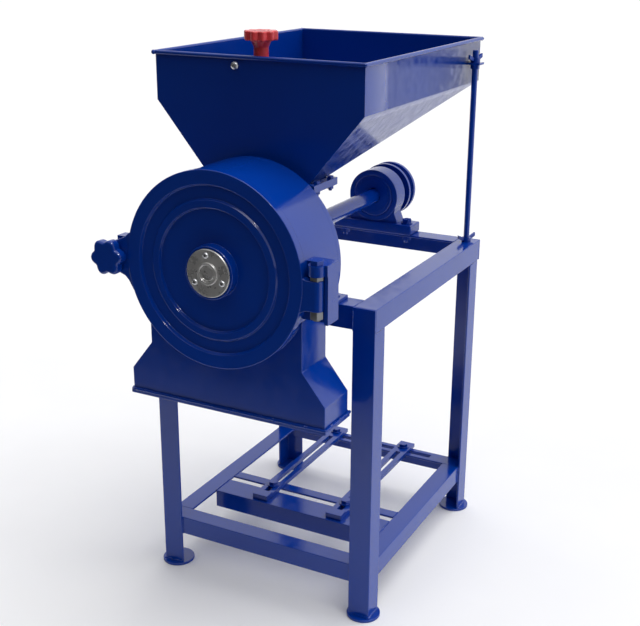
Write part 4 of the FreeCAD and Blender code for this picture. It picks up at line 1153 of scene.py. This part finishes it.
# ---- shaft line ----------------------------------------------------------------------------
@dataclass
class ShaftLine:
    """Shaft, its bearing block and the belt pulley."""

    shop: Workshop
    body_half_mm: float = 20.0
    foot_mm: float = 20.0
    shaft_mm: float = 15.0

    def build(self) -> None:
        """Make the shaft line."""
        finish = self.shop.finish
        self.block()
        self.shop.dress("main_shaft", finish.door, 0.6, 2, 1.0)
        self.shop.dress("block_covers", finish.door, 0.5, 2, 1.0)
        self.pulley()
        self.shop.paint("pulley_key", finish.steel)
        for name in ("drum_bearing", "block_bearing"):
            self.shop.paint(name + "_outer", finish.steel)
            self.shop.paint(name + "_inner", finish.steel)

    def block(self) -> None:
        """Cast the bearing block: a ringed round body on an arched foot with two bolt lugs."""
        low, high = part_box("bearing_block")
        pulley_low, pulley_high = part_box("pulley")
        centre = (pulley_low + pulley_high) / 2
        axis = Vector((centre.x, 0.0, centre.z))
        body = high.z - axis.z
        middle = (low.y + high.y) / 2
        y0, y1 = middle - self.body_half_mm * MM, middle + self.body_half_mm * MM
        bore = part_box("block_covers")[1].z - axis.z - 3 * MM
        profile = in_mm([(0, 2), (2, 0), (8, 0), (9, 1.4), (10.4, 1.4), (11.4, 0)], bore, y0)
        profile += in_mm([(-1, 0), (0, 1)], body, y0) + [(body, y1), (bore, y1)]
        bm = bmesh.new()
        add_turned(bm, profile, axis, 0.8 * MM, 96)
        foot, half = low.z + self.foot_mm * MM, (high.x - low.x) / 2
        right = in_mm([(-32, -4), (-34, 6)], half, foot) + in_mm([(-7, 20)], body, foot)
        right += in_mm([(-3, -14)], body, axis.z)
        left = [(-x, z) for x, z in right]
        arch = [left[0], *right, *reversed(left[1:])]
        add_plate(bm, arch, y0 + 3 * MM, y1 - 3 * MM, 1.6 * MM)
        add_block(bm, low, Vector((high.x, high.y, foot)), 3.0 * MM)
        self.shop.place(bm, "made_bearing_block", self.shop.finish.cast, "stand",
                        ["bearing_block"])

    def pulley(self) -> None:
        """Spin the one-groove pulley with its recessed faces."""
        low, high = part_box("pulley")
        centre = Vector(((low.x + high.x) / 2, 0.0, (low.z + high.z) / 2))
        outer, shaft = (high.x - low.x) / 2, self.shaft_mm * MM
        front = in_mm([(0, 0), (9, 0), (10, 5)], shaft) + in_mm([(-20, 5), (-18, 0), (0, 0)], outer)
        profile = [(r, low.y + t) for r, t in front]
        profile += in_mm([(0, -8), (-13, -4.5), (-13, 4.5), (0, 8)], outer, (low.y + high.y) / 2)
        profile += [(r, high.y - t) for r, t in reversed(front)]
        bm = bmesh.new()
        add_turned(bm, profile, centre, 0.9 * MM, 128)
        self.shop.place(bm, "made_pulley", self.shop.finish.door, "rotor", ["pulley"])


# ---- rotor ---------------------------------------------------------------------------------
@dataclass
class Rotor:
    """Pin plates, hammers and screen inside the drum."""

    shop: Workshop

    def build(self) -> None:
        """Dress the pieces that show when the door is open."""
        finish = self.shop.finish
        self.shop.dress("rotor_plates", finish.raw, 0.7, 2, 1.0)
        self.shop.paint("rotor_hub", finish.raw)
        self.shop.dress("rotor_nut", finish.steel, 0.8, 2, 3.0)
        self.shop.dress("hammer_pins", finish.steel, 0.4, 2, 0.8)
        for k in range(1, 9):
            self.shop.dress(f"hammer_{k}", finish.worn, 0.8, 2, 1.0)
        self.shop.paint("ring_screen", finish.worn)


# ---- hopper and feed -----------------------------------------------------------------------
@dataclass
class Hopper:
    """Sheet hopper with a rolled rim, the feed throat, the gate and its screw."""

    shop: Workshop
    knob_mm: float = 27.5
    knob_thick_mm: float = 15.0
    boss_mm: float = 12.0
    rim_bar_mm: float = 7.0
    blob_mm: float = 3.9

    def build(self) -> None:
        """Make the hopper and the feed parts."""
        finish = self.shop.finish
        self.shop.dress("hopper", finish.sheet, 0.55, 2, 5.0)
        self.shop.dress("feed_throat", finish.sheet, 0.6, 2, 4.0)
        self.shop.dress("feed_gate", finish.sheet, 0.5, 2, 4.0)
        self.shop.dress("gate_bracket", finish.sheet, 0.5, 2, 4.0)
        self.shop.dress("gate_screw", finish.steel, 0.5, 2, 1.0)
        self.knob()
        self.weld_seams()

    def knob(self) -> None:
        """Shape the red ten-lobed knob and its skirt."""
        low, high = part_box("feed_knob")
        centre = (low + high) / 2
        boss, thick = self.boss_mm * MM, self.knob_thick_mm * MM
        bm, head = bmesh.new(), bmesh.new()
        add_lobed(head, self.knob_mm * MM, 10, 4.2 * MM, thick, 3.2 * MM, 1.0 * MM)
        bmesh.ops.translate(head, vec=(centre.x, centre.y, high.z - thick), verts=head.verts)
        merge_in(bm, head)
        foot = Vector((centre.x, centre.y, low.z))
        neck = Vector((centre.x, centre.y, high.z - 22 * MM))
        add_rod(bm, foot, neck, boss, 48, 0.6 * MM)
        add_rod(bm, neck - Vector((0, 0, 4 * MM)), neck + Vector((0, 0, 9 * MM)),
                boss - 0.1 * MM, 48, 0.0, boss + 6 * MM)
        self.shop.place(bm, "made_feed_knob", self.shop.finish.red, "gate_screw_body",
                        ["feed_knob"])

    def weld_seams(self) -> None:
        """Put blobs of weld where the rim's bars meet at the corners."""
        low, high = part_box("hopper")
        throat_low, throat_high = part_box("feed_throat")
        half_bar = self.rim_bar_mm / 2 * MM
        x0 = low.x + half_bar
        x1 = throat_low.x + throat_high.x - x0
        y0, y1 = throat_low.y + 13 * MM, high.y - half_bar
        bm = bmesh.new()
        for x in (x0, x1):
            for y in (y0, y1):
                part = bmesh.new()
                bmesh.ops.create_icosphere(part, subdivisions=3, radius=self.blob_mm * MM)
                bmesh.ops.translate(part, vec=(x, y, high.z - half_bar), verts=part.verts)
                merge_in(bm, part)
        self.shop.place(bm, "hopper_welds", self.shop.finish.weld, "stand", slot="blue_enamel")


# ---- stay rod ------------------------------------------------------------------------------
@dataclass
class StayRod:
    """Rod that holds up the back of the hopper, with a wing nut at each end."""

    shop: Workshop
    rod_mm: float = 5.5
    nut_mm: float = 8.0
    low_nut_drop_mm: float = 4.0
    high_nut_drop_mm: float = 19.0

    def build(self) -> None:
        """Make the rod with its hexagon nuts, and the wing nuts."""
        low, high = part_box("stay_rod")
        middle = (low + high) / 2
        tops = (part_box("top_rail_left")[1].z - self.low_nut_drop_mm * MM,
                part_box("wing_nuts")[1].z - self.high_nut_drop_mm * MM)
        bm = bmesh.new()
        foot, head = Vector((middle.x, middle.y, low.z)), Vector((middle.x, middle.y, high.z))
        add_rod(bm, foot, head, self.rod_mm * MM, 48, 0.6 * MM)
        for z in tops:
            top = Vector((middle.x, middle.y, z))
            base = top - Vector((0, 0, self.nut_mm * MM))
            add_rod(bm, base, top, (high.x - low.x) / 2, 6, 0.6 * MM)
        self.shop.place(bm, "made_stay_rod", self.shop.finish.bar, "stand", ["stay_rod"])
        self.shop.dress("wing_nuts", self.shop.finish.cast, 1.0, 3, 1.5)


# ---- studio --------------------------------------------------------------------------------
@dataclass
class Studio:
    """White floor, soft light and the camera."""

    eye: tuple[float, float, float] = (0.8950, -1.7016, 1.1489)
    heading: float = 27.347
    tilt: float = 19.143
    roll: float = 0.356
    lens: float = 61.55
    sensor: float = 36.0
    # where the painted shade on the floor begins, in front of the mill
    dark_floor_start: float = -1.02
    backdrop: float = 0.97

    def build(self) -> None:
        """Make the floor, the light and the camera."""
        bpy.context.scene.view_settings.view_transform = "Standard"
        self.camera()
        self.world()
        self.floor()
        # one broad softbox above, a little behind the mill and to its right
        self.sun("Key", 1.25, 50.0, (-8.0, 15.0, 0.0))
        # a bare bulb that only shows as glints on beads and edges
        self.sun("Glint", 1.6, 5.0, (24.0, 30.0, 0.0)).visible_diffuse = False

    def put(self, name: str, data: bpy.types.ID) -> bpy.types.Object:
        """Put something in the scene.

        Args:
            name: its name.
            data: a camera, a light or a mesh.

        Returns:
            The new object.
        """
        made = bpy.data.objects.new(name, data)
        bpy.context.scene.collection.objects.link(made)
        return made

    def camera(self) -> None:
        """Stand the camera in front of the hinge side, looking down at the mill."""
        data = bpy.data.cameras.new("Camera")
        data.lens = self.lens
        data.sensor_width = self.sensor
        data.clip_end = 200.0
        camera = self.put("Camera", data)
        turn = (Matrix.Rotation(math.radians(self.heading), 4, "Z")
                @ Matrix.Rotation(math.radians(90 - self.tilt), 4, "X")
                @ Matrix.Rotation(math.radians(self.roll), 4, "Z"))
        camera.matrix_world = Matrix.Translation(self.eye) @ turn
        bpy.context.scene.camera = camera

    def world(self) -> None:
        """Make a white room that is dim on the side where one stands to look at the mill."""
        world = bpy.data.worlds.new("Studio")
        bpy.context.scene.world = world
        world.use_nodes = True
        room = Nodes(world.node_tree)
        look = room.add("TexCoord").outputs["Generated"]
        parts = room.add("SeparateXYZ", {"Vector": look})
        aside = room.math("MULTIPLY", parts.outputs["X"], 0.45)
        ahead = room.math("ADD", parts.outputs["Y"], aside)
        soft = {"interpolation_type": "SMOOTHSTEP"}
        walls = room.remap(ahead, (-0.45, 0.30), (0.02, 1.10), **soft)
        ceiling = room.remap(parts.outputs["Z"], (0.35, 0.95), (0.0, 0.9), **soft)
        glow = room.math("MAXIMUM", walls, ceiling)
        seen = room.add("LightPath").outputs["Is Camera Ray"]
        strength = room.add("Mix", {"Factor": seen, "A": glow, "B": self.backdrop})
        light = room.add("Background", {"Color": linear("FDFDFF"),
                                        "Strength": strength.outputs["Result"]})
        room.add("OutputWorld", {"Surface": light.outputs["Background"]})

    def floor(self) -> None:
        """Lay a wide pale floor; in front of the mill it is painted dark for every ray but the
        camera's, a painted shade that keeps the mill's front dim.
        """
        skin = Skin("Pale_studio_floor")
        # the faint mottle of paper
        paper = skin.mix(skin.noise(2.2, 4.0), linear("EDEDEE"), linear("F7F7F7"))
        # painted shade: in front of the mill the floor is dark for every ray except camera rays, so
        # it throws little light and reflection onto the mill's front
        ahead = skin.add("SeparateXYZ", {"Vector": skin.place}).outputs["Y"]
        edge = (self.dark_floor_start + 0.25, self.dark_floor_start - 0.25)
        painted_shade_mask = skin.remap(ahead, edge, (0.0, 0.97))
        seen = skin.add("LightPath").outputs["Is Camera Ray"]
        dark = skin.math("MULTIPLY", painted_shade_mask, skin.math("SUBTRACT", 1.0, seen))
        colour = skin.mix(dark, paper, linear("141414"))
        bm = bmesh.new()
        bmesh.ops.create_grid(bm, x_segments=4, y_segments=4, size=60.0)
        mesh = bpy.data.meshes.new("studio_floor")
        bm.to_mesh(mesh)
        bm.free()
        mesh.materials.append(skin.close(colour, 0.8, Specular_IOR_Level=0.1))
        self.put("studio_floor", mesh)

    def sun(self, name: str, power: float, spread: float,
            turn: tuple[float, float, float]) -> bpy.types.Object:
        """Hang one sun lamp.

        Args:
            name: its name.
            power: its strength.
            spread: its width in degrees.
            turn: its rotation in degrees.

        Returns:
            The lamp.
        """
        data = bpy.data.lights.new(name, "SUN")
        data.energy = power
        data.angle = math.radians(spread)
        lamp = self.put(name, data)
        lamp.rotation_euler = [math.radians(v) for v in turn]
        return lamp


def main() -> None:
    """Load the frame, build every sub-assembly and set up the studio."""
    logging.basicConfig(level=logging.INFO, format="%(name)s %(message)s")
    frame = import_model()
    low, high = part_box("hub_cover")
    shop = Workshop(frame, Finishes(tuple((low + high) / 2)))
    for kind in (Stand, MotorSlides, Drum, Door, ShaftLine, Rotor, Hopper, StayRod):
        LOG.info("building %s", kind.__name__)
        kind(shop).build()
    Studio().build()
    bpy.context.view_layer.update()


if __name__ == "__main__":
    main()
